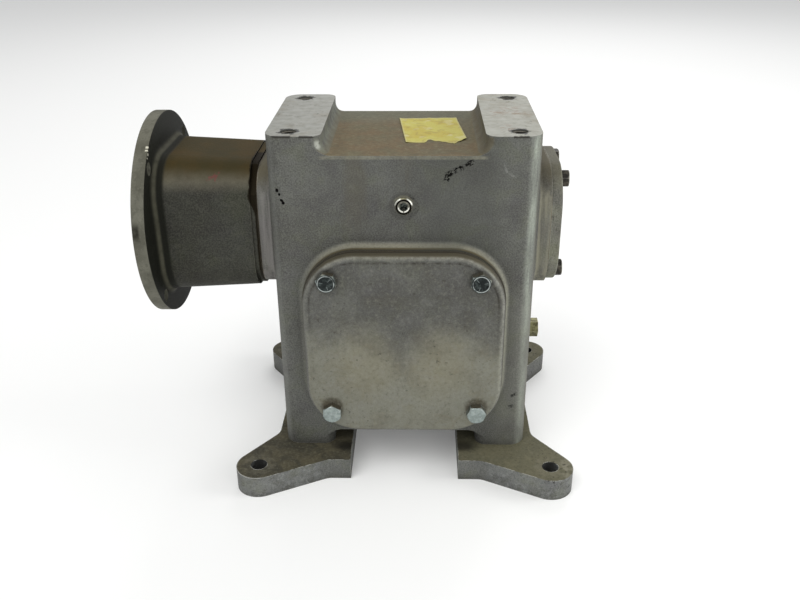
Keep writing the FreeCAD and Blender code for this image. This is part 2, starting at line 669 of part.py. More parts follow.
def bearing_profile(kind):
    """Cone or cup outline as (distance from the cone's back face, radius)."""
    lean = math.radians(BRG_ANGLE)
    mid_r = (BRG_BORE + BRG_OD) / 4
    mid_u = BRG_WIDTH / 2
    taper = math.atan(BRG_ROLLER_D / 2 / (mid_r / math.sin(lean)))
    half = BRG_ROLLER_D / 2 + BRG_PLAY

    def race(u, side):
        slope = math.tan(lean + side * taper)
        at_mid = mid_r + side * half / math.cos(lean)
        return at_mid - (u - mid_u) * slope

    if kind == "cup":
        u0 = BRG_WIDTH - BRG_CUP
        return [(u0, race(u0, 1)), (u0, BRG_OD / 2), (BRG_WIDTH, BRG_OD / 2),
                (BRG_WIDTH, race(BRG_WIDTH, 1))]
    rib = mid_u - BRG_ROLLER_L / 2 * math.cos(lean) - BRG_RIB
    toe = mid_u + BRG_ROLLER_L / 2 * math.cos(lean) + BRG_TOE
    rib_r = race(rib, -1) + BRG_RIB_HEIGHT
    toe_r = race(toe, -1) + BRG_TOE_HEIGHT
    return [(0, BRG_BORE / 2), (0, rib_r), (rib, rib_r), (rib, race(rib, -1)),
            (toe, race(toe, -1)), (toe, toe_r), (BRG_WIDTH, toe_r), (BRG_WIDTH, BRG_BORE / 2)]


def turned_ring(profile, place, outward):
    """place is worm or output; outward is the side on which the bearing sits."""
    if place == "worm":
        return revolve_x([(outward * (WORM_BRG_X + u), r) for u, r in profile])
    return revolve_y([(outward * (OUT_BRG_Y + u), r) for u, r in profile])


def bearing_ring(kind, place, outward):
    return turned_ring(bearing_profile(kind), place, outward)


def bearing_cage(place, outward):
    """Thin conical ring round the rollers, with a window for each of them."""
    lean = math.radians(BRG_ANGLE)
    mid_r = (BRG_BORE + BRG_OD) / 4
    half = BRG_ROLLER_L / 2 + CAGE_END
    inner = CAGE_RISE
    outer = CAGE_RISE + CAGE_WALL
    profile = []
    for along, out in ((-half, inner), (half, inner), (half, outer), (-half, outer)):
        u = BRG_WIDTH / 2 + along * math.cos(lean) + out * math.sin(lean)
        profile.append((u, mid_r - along * math.sin(lean) + out * math.cos(lean)))
    windows = bearing_rollers(place, outward, CAGE_PLAY)
    return turned_ring(profile, place, outward).cut(windows.Solids)


def bearing_rollers(place, outward, spare=0.0):
    """Tapered rollers with flats for a light mesh, leaning towards one point on the axis."""
    lean = math.radians(BRG_ANGLE)
    mid_r = (BRG_BORE + BRG_OD) / 4
    reach = mid_r / math.sin(lean)
    half = BRG_ROLLER_L / 2 + spare
    big = BRG_ROLLER_D / 2 * (reach + half) / reach + spare
    small = BRG_ROLLER_D / 2 * (reach - half) / reach + spare
    rollers = []
    for i in range(BRG_ROLLERS):
        ends = []
        for along, r in ((-half, big), (half, small)):
            points = []
            for k in range(ROLLER_SIDES):
                a = 2 * math.pi * k / ROLLER_SIDES
                u = BRG_WIDTH / 2 + along * math.cos(lean) + r * math.cos(a) * math.sin(lean)
                out = mid_r - along * math.sin(lean) + r * math.cos(a) * math.cos(lean)
                side = r * math.sin(a)
                turn = 2 * math.pi * i / BRG_ROLLERS
                p = out * math.cos(turn) - side * math.sin(turn)
                q = out * math.sin(turn) + side * math.cos(turn)
                if place == "worm":
                    points.append(vec(outward * (WORM_BRG_X + u), p, WORM_Z + q))
                else:
                    points.append(vec(p, outward * (OUT_BRG_Y + u), OUT_HEIGHT + q))
            ends.append(Part.makePolygon(points + points[:1]))
        rollers.append(Part.makeLoft(ends, True, True))
    return Part.makeCompound(rollers)


def seal(axis, start, outer_r, inner_r):
    """Lip seal: outer case, a flat disc and a lip towards the shaft."""
    wall = SEAL_WALL
    end = start + SEAL_WIDTH
    lip = start + SEAL_WIDTH * SEAL_LIP_SHARE
    profile = [(start, outer_r), (end, outer_r), (end, outer_r - wall),
               (start + wall, outer_r - wall), (start + wall, inner_r + wall),
               (lip, inner_r + wall), (lip, inner_r), (start, inner_r + SEAL_LIP_SLOPE)]
    return revolve_x(profile) if axis == "x" else revolve_y(profile)


def facet_solid(rings):
    """Closed solid of flat triangles over a row of point rings, with flat end faces."""
    count = len(rings[0])
    faces = []
    for ring, after in zip(rings, rings[1:]):
        for j in range(count):
            k = (j + 1) % count
            for corners in ((ring[j], ring[k], after[j]), (ring[k], after[k], after[j])):
                faces.append(Part.Face(Part.makePolygon(list(corners) + [corners[0]])))
    for ring in (rings[0], rings[-1]):
        faces.append(Part.Face(Part.makePolygon(ring + ring[:1])))
    solid = Part.Solid(Part.Shell(faces))
    if solid.Volume < 0:
        solid.reverse()
    return solid


def thread_half(r, allowance):
    """Half width of a worm thread at radius r, measured along the worm."""
    flank = math.tan(math.radians(PRESSURE_ANGLE))
    return math.pi * MODULE / 4 + allowance + (WORM_PITCH_R - r) * flank


def worm_thread(start):
    """One right-hand thread: a straight-flanked ridge on a helix, sunk a little into its root."""
    foot_r = WORM_ROOT_R - THREAD_SINK
    foot = thread_half(foot_r, -TOOTH_GAP / 2)
    tip = thread_half(WORM_TIP_R, -TOOTH_GAP / 2)
    profile = [(foot_r, -foot), (WORM_TIP_R, -tip), (WORM_TIP_R, tip), (foot_r, foot)]
    turns = WORM_LENGTH / LEAD + THREAD_SPARE
    steps = round(turns * THREAD_STEPS)
    rings = []
    for i in range(steps + 1):
        turn = 2 * math.pi * turns * (i / steps - 0.5)
        x = LEAD * turn / (2 * math.pi)
        a = turn - math.pi / 2 + 2 * math.pi * start / STARTS
        ring = [vec(x + offset, r * math.cos(a), WORM_Z + r * math.sin(a))
                for r, offset in profile]
        rings.append(ring)
    return facet_solid(rings)


def worm_body():
    """Threads on their root cylinder, faced off square at both ends."""
    run = WORM_LENGTH / 2
    root = rod_x(-run - WORM_LAND, run + WORM_LAND, WORM_ROOT_R)
    trim = rod_x(-run, run, WORM_TIP_R + PAST)
    threads = [worm_thread(start).common(trim) for start in range(STARTS)]
    return root.fuse(threads)


def worm_shaft():
    """Worm, its two bearing seats and the hollow quill that takes the motor shaft."""
    shoulder_r = BRG_BORE / 2 + SHOULDER_STEP
    core_r = WORM_PITCH_R
    run = WORM_LENGTH / 2 + WORM_LAND
    root = WORM_ROOT_R
    seat = BRG_BORE / 2
    quill = QUILL_D / 2
    collar_x = WORM_BRG_X - SHOULDER_RUN
    slope_x = collar_x - SHOULDER_SLOPE
    seat_x = WORM_BRG_OUT + SEAT_SPARE
    end_x = seat_x + SHAFT_BEVEL
    common = [(run, root), (run + SHOULDER_RUN, core_r), (slope_x, core_r),
              (collar_x, shoulder_r), (WORM_BRG_X, shoulder_r), (WORM_BRG_X, seat), (seat_x, seat)]
    left = [(-x, r) for x, r in common]
    left += [(-end_x, quill), (QUILL_END_X, quill), (QUILL_END_X, 0), (-run, 0)]
    right = common + [(end_x, seat - SHAFT_BEVEL), (end_x, 0), (run, 0)]
    shaft = union([worm_body(), revolve_x(left), revolve_x(right)])
    bore_end = QUILL_END_X + QUILL_DEPTH
    bore = rod_x(QUILL_END_X - PAST, bore_end, QUILL_BORE_D / 2)
    slot_top = QUILL_BORE_D / 2 + QUILL_KEY / 2
    slot = box(QUILL_END_X - PAST, bore_end - QUILL_KEY_STOP, -QUILL_KEY / 2, QUILL_KEY / 2,
               WORM_Z, WORM_Z + slot_top)
    return shaft.cut([bore, slot])


def swept_angle(side, radius, y):
    """Furthest angle that one worm flank reaches on the turning wheel, at one radius and slice."""
    reached = []
    for i in range(-SWEEP_STEPS, SWEEP_STEPS + 1):
        swing = SWEEP_HALF * i / SWEEP_STEPS
        below = CENTRE_DIST - radius * math.cos(swing)
        r = math.hypot(y, below)
        if r < WORM_TIP_R + TIP_GAP + 0.001:
            shift = LEAD / (2 * math.pi) * math.atan2(y, below)
            travel = radius * math.sin(swing) - shift - side * thread_half(r, TOOTH_GAP / 2)
            reached.append(swing - travel / WHEEL_PITCH_R)
    return max(reached) if side > 0 else min(reached)


def wheel_gap():
    """Cutter for the gap at the top of the wheel: the space that the worm thread sweeps out."""
    rings = []
    reach = RIM_WIDTH / 2 + SINK
    for i in range(RIM_SLICES + 1):
        y = reach * (2 * i / RIM_SLICES - 1)
        low = CENTRE_DIST - math.sqrt((WORM_TIP_R + TIP_GAP) ** 2 - y ** 2)
        throat = CENTRE_DIST - math.sqrt(max(0.0, THROAT_R ** 2 - y ** 2))
        high = min(RIM_EDGE_R, throat) + GAP_SPARE
        radii = [low + (high - low) * level for level in GAP_LEVELS]
        edge = [(r, swept_angle(-1, r, y)) for r in reversed(radii)]
        edge += [(r, swept_angle(1, r, y)) for r in radii]
        rings.append([vec(r * math.sin(a), y, OUT_HEIGHT + r * math.cos(a)) for r, a in edge])
    return facet_solid(rings)


def wheel_rim():
    """Bronze rim: a blank hollowed to wrap round the worm, with the worm's own gaps cut in it."""
    half = RIM_WIDTH / 2
    inner = HUB_RIM_R
    bevel = RIM_BEVEL
    low = CENTRE_DIST - THROAT_R
    lip = math.sqrt(THROAT_R ** 2 - (CENTRE_DIST - RIM_EDGE_R) ** 2)
    corners = [(lip, RIM_EDGE_R), (half - bevel, RIM_EDGE_R), (half, RIM_EDGE_R - bevel),
               (half, inner), (-half, inner), (-half, RIM_EDGE_R - bevel),
               (bevel - half, RIM_EDGE_R), (-lip, RIM_EDGE_R)]
    points = [vec(0, y, OUT_HEIGHT + r) for y, r in corners]
    edges = [Part.makeLine(p, q) for p, q in zip(points, points[1:])]
    edges.append(Part.Arc(points[-1], vec(0, 0, OUT_HEIGHT + low), points[0]).toShape())
    axis = vec(0, 1, 0)
    blank = Part.Face(Part.Wire(edges)).revolve(vec(0, 0, OUT_HEIGHT), axis, 360)
    gap = wheel_gap()
    gaps = []
    for i in range(TEETH):
        turned = gap.copy()
        turned.rotate(vec(0, 0, OUT_HEIGHT), axis, 360.0 * i / TEETH)
        gaps.append(turned)
    return blank.cut(gaps)


def wheel_hub():
    """Cast hub with a web, bored for the shaft and its key."""
    half = HUB_LENGTH / 2
    bore = WHEEL_SEAT_D / 2
    rim_half = RIM_WIDTH / 2 - HUB_LIP
    web = HUB_WEB / 2
    out = HUB_RIM_R - FIT_GAP
    band = out - HUB_BAND
    hub = revolve_y([(-half, bore), (-half, HUB_R), (-web, HUB_R + HUB_DRAFT),
                     (-web, band - HUB_DRAFT), (-rim_half, band), (-rim_half, out),
                     (rim_half, out), (rim_half, band), (web, band - HUB_DRAFT),
                     (web, HUB_R + HUB_DRAFT), (half, HUB_R), (half, bore)])
    slot = box(-WHEEL_KEY / 2, WHEEL_KEY / 2, -half - PAST, half + PAST, OUT_HEIGHT,
               OUT_HEIGHT + bore + WHEEL_KEY / 2)
    return hub.cut(slot)


def output_shaft():
    seat = BRG_BORE / 2
    collar = seat + SHOULDER_STEP
    half = HUB_LENGTH / 2
    wheel = WHEEL_SEAT_D / 2 - FIT_GAP
    journal = QUILL_D / 2
    end = OUT_SHAFT_D / 2
    seat_y = OUT_BRG_OUT + SEAT_SPARE
    profile = [(-seat_y, 0), (-seat_y, seat), (-half, seat), (-half, wheel),
               (half, wheel), (half, collar), (OUT_BRG_Y, collar), (OUT_BRG_Y, seat),
               (seat_y, seat), (seat_y + SHAFT_BEVEL, journal), (REAR_FACE_Y, journal),
               (REAR_FACE_Y, end), (OUT_SHAFT_END - SHAFT_BEVEL, end),
               (OUT_SHAFT_END, end - SHAFT_BEVEL), (OUT_SHAFT_END, 0)]
    shaft = revolve_y(profile)
    key = half - WHEEL_KEY_STOP
    wheel_slot = box(-WHEEL_KEY / 2, WHEEL_KEY / 2, -key, key,
                     OUT_HEIGHT + WHEEL_SEAT_D / 2 - WHEEL_KEY / 2, OUT_HEIGHT + wheel + PAST)
    slot_end = OUT_SHAFT_END - OUT_KEY_STOP
    end_slot = box(-OUT_KEY / 2, OUT_KEY / 2, slot_end - OUT_KEY_LENGTH, slot_end,
                   OUT_HEIGHT + end - OUT_KEY / 2, OUT_HEIGHT + end + PAST)
    return shaft.cut([wheel_slot, end_slot])


def wheel_key():
    half = HUB_LENGTH / 2 - WHEEL_KEY_STOP
    mid = OUT_HEIGHT + WHEEL_SEAT_D / 2
    return box(-WHEEL_KEY / 2 + FIT_GAP, WHEEL_KEY / 2 - FIT_GAP, -half, half,
               mid - WHEEL_KEY / 2, mid + WHEEL_KEY / 2 - FIT_GAP)


def wheel_spacer():
    """Sleeve between the wheel hub and the front bearing."""
    bore = BRG_BORE / 2 + FIT_GAP
    wall = bore + SHOULDER_STEP
    return revolve_y([(-OUT_BRG_Y, bore), (-OUT_BRG_Y, wall), (-HUB_LENGTH / 2, wall),
                      (-HUB_LENGTH / 2, bore)])


PIECES = {
    "housing": housing,
    "output_cover": output_cover,
    "cover_gasket": cover_gasket,
    "cover_bolts": cover_bolts,
    "end_cap": end_cap,
    "end_cap_gasket": lambda: end_gasket(1, CAP_CORNER_R),
    "end_cap_bolts": end_cap_bolts,
    "motor_adapter": motor_adapter,
    "adapter_gasket": lambda: end_gasket(-1, END_BOSS_R),
    "adapter_bolts": adapter_bolts,
    "left_foot": lambda: foot(-1),
    "right_foot": lambda: foot(1),
    "foot_screws": foot_screws,
    "fill_plug": fill_plug,
    "level_plug": level_plug,
    "input_seal": lambda: seal("x", WEB_X, SEAL_OD / 2, QUILL_D / 2 + FIT_GAP),
    "output_seal": lambda: seal("y", REAR_FACE_Y - SEAL_WIDTH, SEAL_OD / 2, QUILL_D / 2 + FIT_GAP),
    "worm_left_cup": lambda: bearing_ring("cup", "worm", -1),
    "worm_right_cup": lambda: bearing_ring("cup", "worm", 1),
    "output_front_cup": lambda: bearing_ring("cup", "output", -1),
    "output_rear_cup": lambda: bearing_ring("cup", "output", 1),
    "worm_left_rollers": lambda: bearing_rollers("worm", -1),
    "worm_right_rollers": lambda: bearing_rollers("worm", 1),
    "output_front_rollers": lambda: bearing_rollers("output", -1),
    "output_rear_rollers": lambda: bearing_rollers("output", 1),
    "worm_left_cage": lambda: bearing_cage("worm", -1),
    "worm_right_cage": lambda: bearing_cage("worm", 1),
    "output_front_cage": lambda: bearing_cage("output", -1),
    "output_rear_cage": lambda: bearing_cage("output", 1),
    "worm_left_cone": lambda: bearing_ring("cone", "worm", -1),
    "worm_right_cone": lambda: bearing_ring("cone", "worm", 1),
    "output_front_cone": lambda: bearing_ring("cone", "output", -1),
    "output_rear_cone": lambda: bearing_ring("cone", "output", 1),
    "worm_shaft": worm_shaft,
    "wheel_rim": wheel_rim,
    "wheel_hub": wheel_hub,
    "wheel_spacer": wheel_spacer,
    "wheel_key": wheel_key,
    "output_shaft": output_shaft,
}

os.makedirs("parts", exist_ok=True)
for name, make in PIECES.items():
    shape = make()
    shape.exportStep("parts/" + name + ".step")
    print(name, len(shape.Solids), "solids", round(shape.Volume), "mm3")
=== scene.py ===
"""Worm gear reducer: finishes, label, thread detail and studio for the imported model.

The pieces stand in metres, X along the worm, Y from the front cover to the back, Z up.
"""

import math

import bpy
import numpy as np
from bpy.props import FloatProperty, FloatVectorProperty, PointerProperty
from mathutils import Matrix, Vector


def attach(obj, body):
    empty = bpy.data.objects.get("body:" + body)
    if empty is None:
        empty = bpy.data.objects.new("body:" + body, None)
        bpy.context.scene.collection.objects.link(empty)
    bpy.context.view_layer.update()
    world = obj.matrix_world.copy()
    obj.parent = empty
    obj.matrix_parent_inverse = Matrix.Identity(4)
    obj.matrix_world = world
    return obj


bl_info = {
    "name": "Worm gear reducer finish",
    "version": (1, 0, 0),
    "blender": (4, 5, 0),
    "location": "View3D > Sidebar > Reducer",
    "description": "Cast, machined and plated finishes for a worm gear reducer, with its label",
    "category": "Object",
}

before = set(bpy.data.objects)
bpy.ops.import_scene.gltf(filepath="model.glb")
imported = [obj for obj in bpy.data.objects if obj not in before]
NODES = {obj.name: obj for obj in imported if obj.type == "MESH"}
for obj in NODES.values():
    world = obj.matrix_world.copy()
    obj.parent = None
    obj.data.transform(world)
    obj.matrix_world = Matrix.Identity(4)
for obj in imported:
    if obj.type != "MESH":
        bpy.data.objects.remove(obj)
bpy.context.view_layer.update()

# Where the CAD's faces, holes and axes lie.
WORM_Z = 0.2057
OUT_Z = 0.12315
BODY_TOP = 0.2875
TOP_FLOOR = 0.273
FOOT_TOP = 0.01905
FRONT_Y = -0.067
WORM_BORE_R = 0.0372
COVER_FACE_Y = -0.0862
COVER_BOLT = 0.0584
COVER_HEAD = 0.0062
CAP_FACE_X = 0.1218
CAP_BOLT_Y = 0.0282
CAP_BOLT_Z = 0.0378
FILL_PLUG_Z = 0.2342
LEVEL_PLUG_END = 0.116
FLANGE_FACE_X = -0.2025
FLANGE_BACK_X = -0.1926
PILOT_R = 0.0571
PILOT_FLOOR_X = -0.1962
PAD_HOLE_X = 0.0852
PAD_HOLE_Y = 0.053
PAD_HOLE_R = 0.0062
BOSS_HALF = 0.0792
BOSS_CORNER = 0.043
COVER_HALF = 0.0782
COVER_CORNER = 0.042
FOOT_HOLE_R = 0.00675
FOOT_HOLE_X = 0.1202
FOOT_HOLE_Y = 0.0977
NECK_SOOT_AND_SHADE_X = -0.1145

# Marks of use. A smear goes from one (x, z) to another and has a width, a raggedness and,
# on the front wall, a strength. A nick has x, z and radius, a chip y, z and size.
SCUFFS = ((0.0300, 0.2545, 0.0350, 0.2605, 0.0030, 0.006, 1.0),
          (0.0335, 0.2595, 0.0440, 0.2645, 0.0024, 0.005, 1.0),
          (0.0450, 0.2660, 0.0515, 0.2690, 0.0022, 0.005, 1.0),
          (0.0880, 0.0680, 0.0930, 0.0700, 0.0022, 0.004, 0.8),
          (0.0865, 0.0578, 0.0905, 0.0583, 0.0020, 0.004, 0.7))
CURL = ((0.0738, 0.2672, 0.0758, 0.2605, 0.0011, 0.006, 1.0),
        (0.0755, 0.2608, 0.0830, 0.2566, 0.0011, 0.006, 1.0))
NICKS = ((-0.0944, 0.2463, 0.0016), (-0.0927, 0.2434, 0.0013), (-0.0913, 0.2387, 0.0014),
         (-0.0901, 0.2367, 0.0016))
RED_PAINT = ((-0.1515, 0.2480, -0.1440, 0.2515, 0.0015, 0.005),
             (-0.1450, 0.2475, -0.1420, 0.2530, 0.0012, 0.005))
FLANGE_CHIPS = ((-0.0470, 0.2736, 0.9), (-0.0492, 0.2716, 0.7), (-0.0502, 0.2689, 1.0),
                (-0.0530, 0.2668, 0.6), (-0.0549, 0.2585, 1.1), (-0.0556, 0.1519, 0.9))

# The label's front and back edge: left end and run to the right, in x and in y.
LABEL_FRONT = ((0.0011, 0.0478), (-0.0320, -0.0012))
LABEL_BACK = ((-0.0053, 0.0477), (0.0404, 0.0028))

# The studio: lamps by name, place, width and watts, and the camera solved from the photo.
LAMPS = (("key", (-0.9, -1.3, 2.1), 1.7, 30.0), ("fill", (1.2, -1.8, 1.0), 1.6, 8.0),
         ("back", (0.3, 1.9, 1.7), 1.6, 17.0), ("right", (1.6, -0.1, 0.7), 0.9, 13.0))
LAMP_AIM = (0.0, 0.0, 0.14)
FLOOR_HALF = 12.0
FLOOR_GLOW = 0.12
AIR_STRENGTH = 0.52
CAMERA_PLACE = (0.0128, -0.6775, 0.4567)
CAMERA_ANGLES = (-1.502, 26.194, -0.416)
FOCAL_PIXELS = 864.54
PHOTO_WIDTH = 800
SENSOR_WIDTH = 36.0


def linear(red, green, blue):
    """Scene-linear colour of a screen colour given in 0 to 255."""
    def one(c):
        c = c / 255
        return c / 12.92 if c <= 0.04045 else ((c + 0.055) / 1.055) ** 2.4
    return (one(red), one(green), one(blue))


def tint(name, text, red, green, blue):
    return FloatVectorProperty(name=name, description=text, default=linear(red, green, blue),
                               min=0.0, max=1.0, size=3, subtype="COLOR")


def length(name, text, metres):
    return FloatProperty(name=name, description=text, default=metres, min=0.0,
                         subtype="DISTANCE", unit="LENGTH")


class ReducerSizes(bpy.types.PropertyGroup):
    """Sizes of the pieces that are added to the model."""

    sand_grain: length("Sand grain", "Width of one grain on the cast skin", 0.0011)
    dust_patch: length("Dust patch", "Width of the patches of dust and stain", 0.045)
    edge_wear: length("Edge wear", "Width of the rubbed band along an edge", 0.0011)
    # Reach of the corner darkening, which is dirt and painted shade.
    crevice: length("Crevice", "Reach of the dirt that lies in corners", 0.011)
    thread_pitch: length("Pad thread pitch", "Pitch of the tapped pad holes", 0.001954)
    thread_depth: length("Pad thread depth", "Length of thread cut into each pad hole", 0.019)
    paper_thickness: length("Paper thickness", "Thickness of the label", 0.00018)
    paper_lift: length("Paper lift", "How far the label's loose edge stands up", 0.0012)


class ReducerColours(bpy.types.PropertyGroup):
    """Colours of the finishes."""

    casting: tint("Casting", "Grey of the cast skin", 97, 98, 94)
    casting_dark: tint("Casting stain", "Oily grey of the cast skin", 80, 80, 75)
    casting_light: tint("Rubbed casting", "Bright metal on rubbed edges", 158, 159, 149)
    machined: tint("Machined face", "Pale metal of a milled face", 138, 139, 133)
    dust: tint("Dust", "Brown dust on the upper sides", 97, 89, 65)
    # Soot: dark grain, and the dirt and painted shade laid in corners.
    soot_and_shade: tint("Soot", "Dirt in the corners", 40, 37, 29)
    adapter: tint("Adapter casting", "Dark grey-green of the tube", 64, 65, 60)
    cap: tint("Cap casting", "Tan-grey of the end cap", 122, 122, 110)
    zinc: tint("Zinc plate", "Plating on the bolts", 160, 170, 167)
    steel: tint("Steel", "Turned and ground steel", 176, 177, 180)
    black_oxide: tint("Black oxide", "Finish of the hidden screws", 42, 42, 44)
    brass: tint("Brass", "Tarnished brass of the level plug", 134, 132, 96)
    bronze: tint("Bronze", "Worm wheel rim", 190, 142, 78)
    rubber: tint("Seal rubber", "Moulded seal", 40, 40, 42)
    fibre: tint("Gasket fibre", "Oil-soaked gasket sheet", 92, 78, 56)
    paper: tint("Paper", "Yellow of the blank label", 178, 169, 66)


def sizes():
    return bpy.context.scene.reducer_sizes


def colours():
    return bpy.context.scene.reducer_colours


class Value:
    """A socket of one material; arithmetic on it adds Math nodes."""

    def __init__(self, paint, socket):
        self.paint = paint
        self.socket = socket

    def math(self, operation, *operands):
        values = dict(enumerate(operands))
        return self.paint.node("ShaderNodeMath", {"operation": operation}, values)

    def __add__(self, other):
        return self.math("ADD", self, other)

    def __radd__(self, other):
        return self.math("ADD", other, self)

    def __sub__(self, other):
        return self.math("SUBTRACT", self, other)

    def __rsub__(self, other):
        return self.math("SUBTRACT", other, self)

    def __mul__(self, other):
        return self.math("MULTIPLY", self, other)

    def __rmul__(self, other):
        return self.math("MULTIPLY", other, self)

    def __abs__(self):
        return self.math("ABSOLUTE", self)

    def sine(self):
        return self.math("SINE", self)

    def at_least(self, other):
        return self.math("MAXIMUM", self, other)

    def at_most(self, other):
        return self.math("MINIMUM", self, other)

    def root(self):
        return self.math("SQRT", self)

    def rise(self, low, high):
        """0 below low, 1 above high, with a smooth change between them."""
        values = {"Value": self, "From Min": low, "From Max": high}
        settings = {"interpolation_type": "SMOOTHSTEP"}
        return self.paint.node("ShaderNodeMapRange", settings, values)

    def fall(self, low, high):
        return 1.0 - self.rise(low, high)

    def band(self, low, high, soft):
        return self.rise(low - soft, low + soft) * self.fall(high - soft, high + soft)

    def coat(self, mask, red, green, blue):
        """Lay a screen colour over this colour, as strong as the mask."""
        self.socket = self.paint.blend(mask, self, linear(red, green, blue)).socket


class Paint:
    """One material while it is being made."""

    def __init__(self, name):
        self.material = bpy.data.materials.new(name)
        self.material.use_nodes = True
        self.tree = self.material.node_tree
        self.tree.nodes.clear()
        self.place = self.node("ShaderNodeTexCoord", out="Object")
        parts = self.node("ShaderNodeSeparateXYZ", values={0: self.place}).socket.node
        self.x, self.y, self.z = (Value(self, socket) for socket in parts.outputs)
        self.facing = self.node("ShaderNodeNewGeometry", out="Normal")

    def node(self, kind, settings=None, values=None, out=0):
        """One node: settings go first, then the values or links of its sockets."""
        made = self.tree.nodes.new(kind)
        for key, value in (settings or {}).items():
            setattr(made, key, value)
        for key, value in (values or {}).items():
            self.feed(made.inputs[key], value)
        return Value(self, made.outputs[out])

    def feed(self, socket, value):
        if isinstance(value, Value):
            self.tree.links.new(value.socket, socket)
        elif socket.type == "RGBA" and len(value) == 3:
            socket.default_value = (*value, 1.0)
        else:
            socket.default_value = value

    def noise(self, width, detail=4.0, roughness=0.6, place=None, distortion=0.0):
        """Soft noise whose features are about as wide as width, in metres."""
        values = {"Vector": place or self.place, "Scale": 1.0 / width, "Detail": detail,
                  "Roughness": roughness, "Distortion": distortion}
        return self.node("ShaderNodeTexNoise", values=values)

    def cells(self, width):
        """Round cells about as wide as width, in metres."""
        values = {"Vector": self.place, "Scale": 1.0 / width}
        return self.node("ShaderNodeTexVoronoi", values=values)

    def stretch(self, x, y, z):
        """The object's place, scaled along each axis, for brushed or streaked patterns."""
        values = {"Vector": self.place, "Scale": (x, y, z)}
        return self.node("ShaderNodeMapping", values=values)

    def blend(self, factor, first, second, mode="MIX"):
        settings = {"data_type": "RGBA", "blend_type": mode}
        return self.node("ShaderNodeMix", settings, {0: factor, 6: first, 7: second}, out=2)

    def towards(self, axis):
        """How far the surface faces along X (to the right) or Z (upwards), from 0 to 1."""
        part = self.node("ShaderNodeSeparateXYZ", values={0: self.facing}, out=axis)
        return part.at_least(0.0)

    def corner(self, reach):
        """1 in corners and recesses narrower than reach, 0 on open faces."""
        open_sky = self.node("ShaderNodeAmbientOcclusion", {"samples": 6}, {"Distance": reach},
                             out="AO")
        return open_sky.fall(0.35, 0.95)

    def edge(self, width):
        """1 along sharp or tightly rounded edges, 0 on flat faces."""
        soft = self.node("ShaderNodeBevel", {"samples": 6}, {"Radius": width})
        settings = {"operation": "DOT_PRODUCT"}
        same = self.node("ShaderNodeVectorMath", settings, {0: soft, 1: self.facing}, out="Value")
        return same.fall(0.80, 0.995)

    def distance(self, a, b):
        return (a * a + b * b).root()

    def finish(self, colour, roughness, metallic, height=None, lift=0.0002, shine=0.5):
        """The surface shader, with bumps as deep as lift where a height is given."""
        values = {"Base Color": colour, "Roughness": roughness, "Metallic": metallic,
                  "Specular IOR Level": shine}
        if height is not None:
            values["Normal"] = self.node("ShaderNodeBump", values={
                "Height": height, "Distance": lift})
        shader = self.node("ShaderNodeBsdfPrincipled", values=values)
        made = self.tree.nodes.new("ShaderNodeOutputMaterial")
        self.tree.links.new(shader.socket, made.inputs["Surface"])
        return self.material


def dress(material, *names):
    """Give CAD nodes one material in every slot."""
    for name in names:
        mesh = NODES[name].data
        mesh.materials.clear()
        mesh.materials.append(material)


def mesh_piece(name, points, faces, material, body):
    """A new piece in the row frame, riding on a body."""
    mesh = bpy.data.meshes.new(name)
    mesh.from_pydata(points.reshape(-1, 3).tolist(), [], faces)
    mesh.validate()
    mesh.update()
    mesh.shade_smooth()
    piece = bpy.data.objects.new(name, mesh)
    bpy.context.scene.collection.objects.link(piece)
    mesh.materials.append(material)
    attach(piece, body)
    return piece


def grid_faces(rows, columns, closed=False):
    """Quads between neighbours of a grid of points, each row wrapped round where it is closed."""
    r = np.arange(rows - 1)
    c = np.arange(columns if closed else columns - 1)
    r, c = np.meshgrid(r, c, indexing="ij")
    after_c = (c + 1) % columns
    quads = np.stack([r * columns + c, (r + 1) * columns + c, (r + 1) * columns + after_c,
                      r * columns + after_c], axis=-1)
    return quads.reshape(-1, 4).tolist()


def cast_skin(paint, base, dark, light, dust_amount, grain_depth=1.0):
    """Sand-cast metal: patches of stain, fine grain, dust above, dirt and painted shade in
    corners, rubbed edges.

    Returns colour, roughness, metallic and height, so that a caller can add its own marks.
    """
    size = sizes()
    colour = colours()
    patches = paint.noise(size.dust_patch, 5.0)
    blotches = paint.noise(size.dust_patch / 4, distortion=0.6)
    grain = paint.noise(size.sand_grain, 3.0, 0.7)
    pits = paint.cells(size.sand_grain * 1.7)
    specks = paint.noise(size.sand_grain * 3.2, 2.0, 0.5).rise(0.60, 0.72)
    shade = paint.blend(patches.rise(0.30, 0.70), dark, base)
    warm = paint.noise(size.dust_patch * 0.5, distortion=0.4)
    shade = paint.blend(warm.rise(0.50, 0.66) * 0.6, shade, (0.97, 1.0, 0.80), "MULTIPLY")
    shade = paint.blend(warm.fall(0.34, 0.48) * 0.6, shade, (0.93, 0.90, 1.0), "MULTIPLY")
    shade = paint.blend(blotches.rise(0.50, 0.80) * 0.10, shade, light)
    shade = paint.blend(specks * 0.30, shade, dark)
    shade = paint.blend(grain.rise(0.42, 0.66) * 0.20, shade, light)
    shade = paint.blend(grain.fall(0.34, 0.50) * 0.30, shade, colour.soot_and_shade)
    above = paint.towards("Z")
    settled = above.rise(0.30, 0.92) * (patches.rise(0.20, 0.55) * 0.5 + 0.5) * dust_amount
    shade = paint.blend(settled, shade, colour.dust)
    # Corners and recesses darkened with the soot colour: partly dirt, partly painted shade.
    dirt = paint.corner(size.crevice)
    dirty = dirt * (blotches.rise(0.25, 0.65) * 0.5 + 0.5) * 0.8
    shade = paint.blend(dirty, shade, colour.soot_and_shade)
    worn = paint.edge(size.edge_wear) * blotches.rise(0.30, 0.60) * (1.0 - dirty)
    shade = paint.blend(worn * 0.65, shade, light)
    rough = 0.62 + grain * 0.14 + settled * 0.16 + dirty * 0.1 - worn * 0.22
    metal = 0.42 - settled * 0.36 - dirty * 0.34 + worn * 0.3
    height = grain * 0.55 * grain_depth + pits * 0.40 * grain_depth + blotches * 0.5
    return shade, rough, metal.at_least(0.0), height


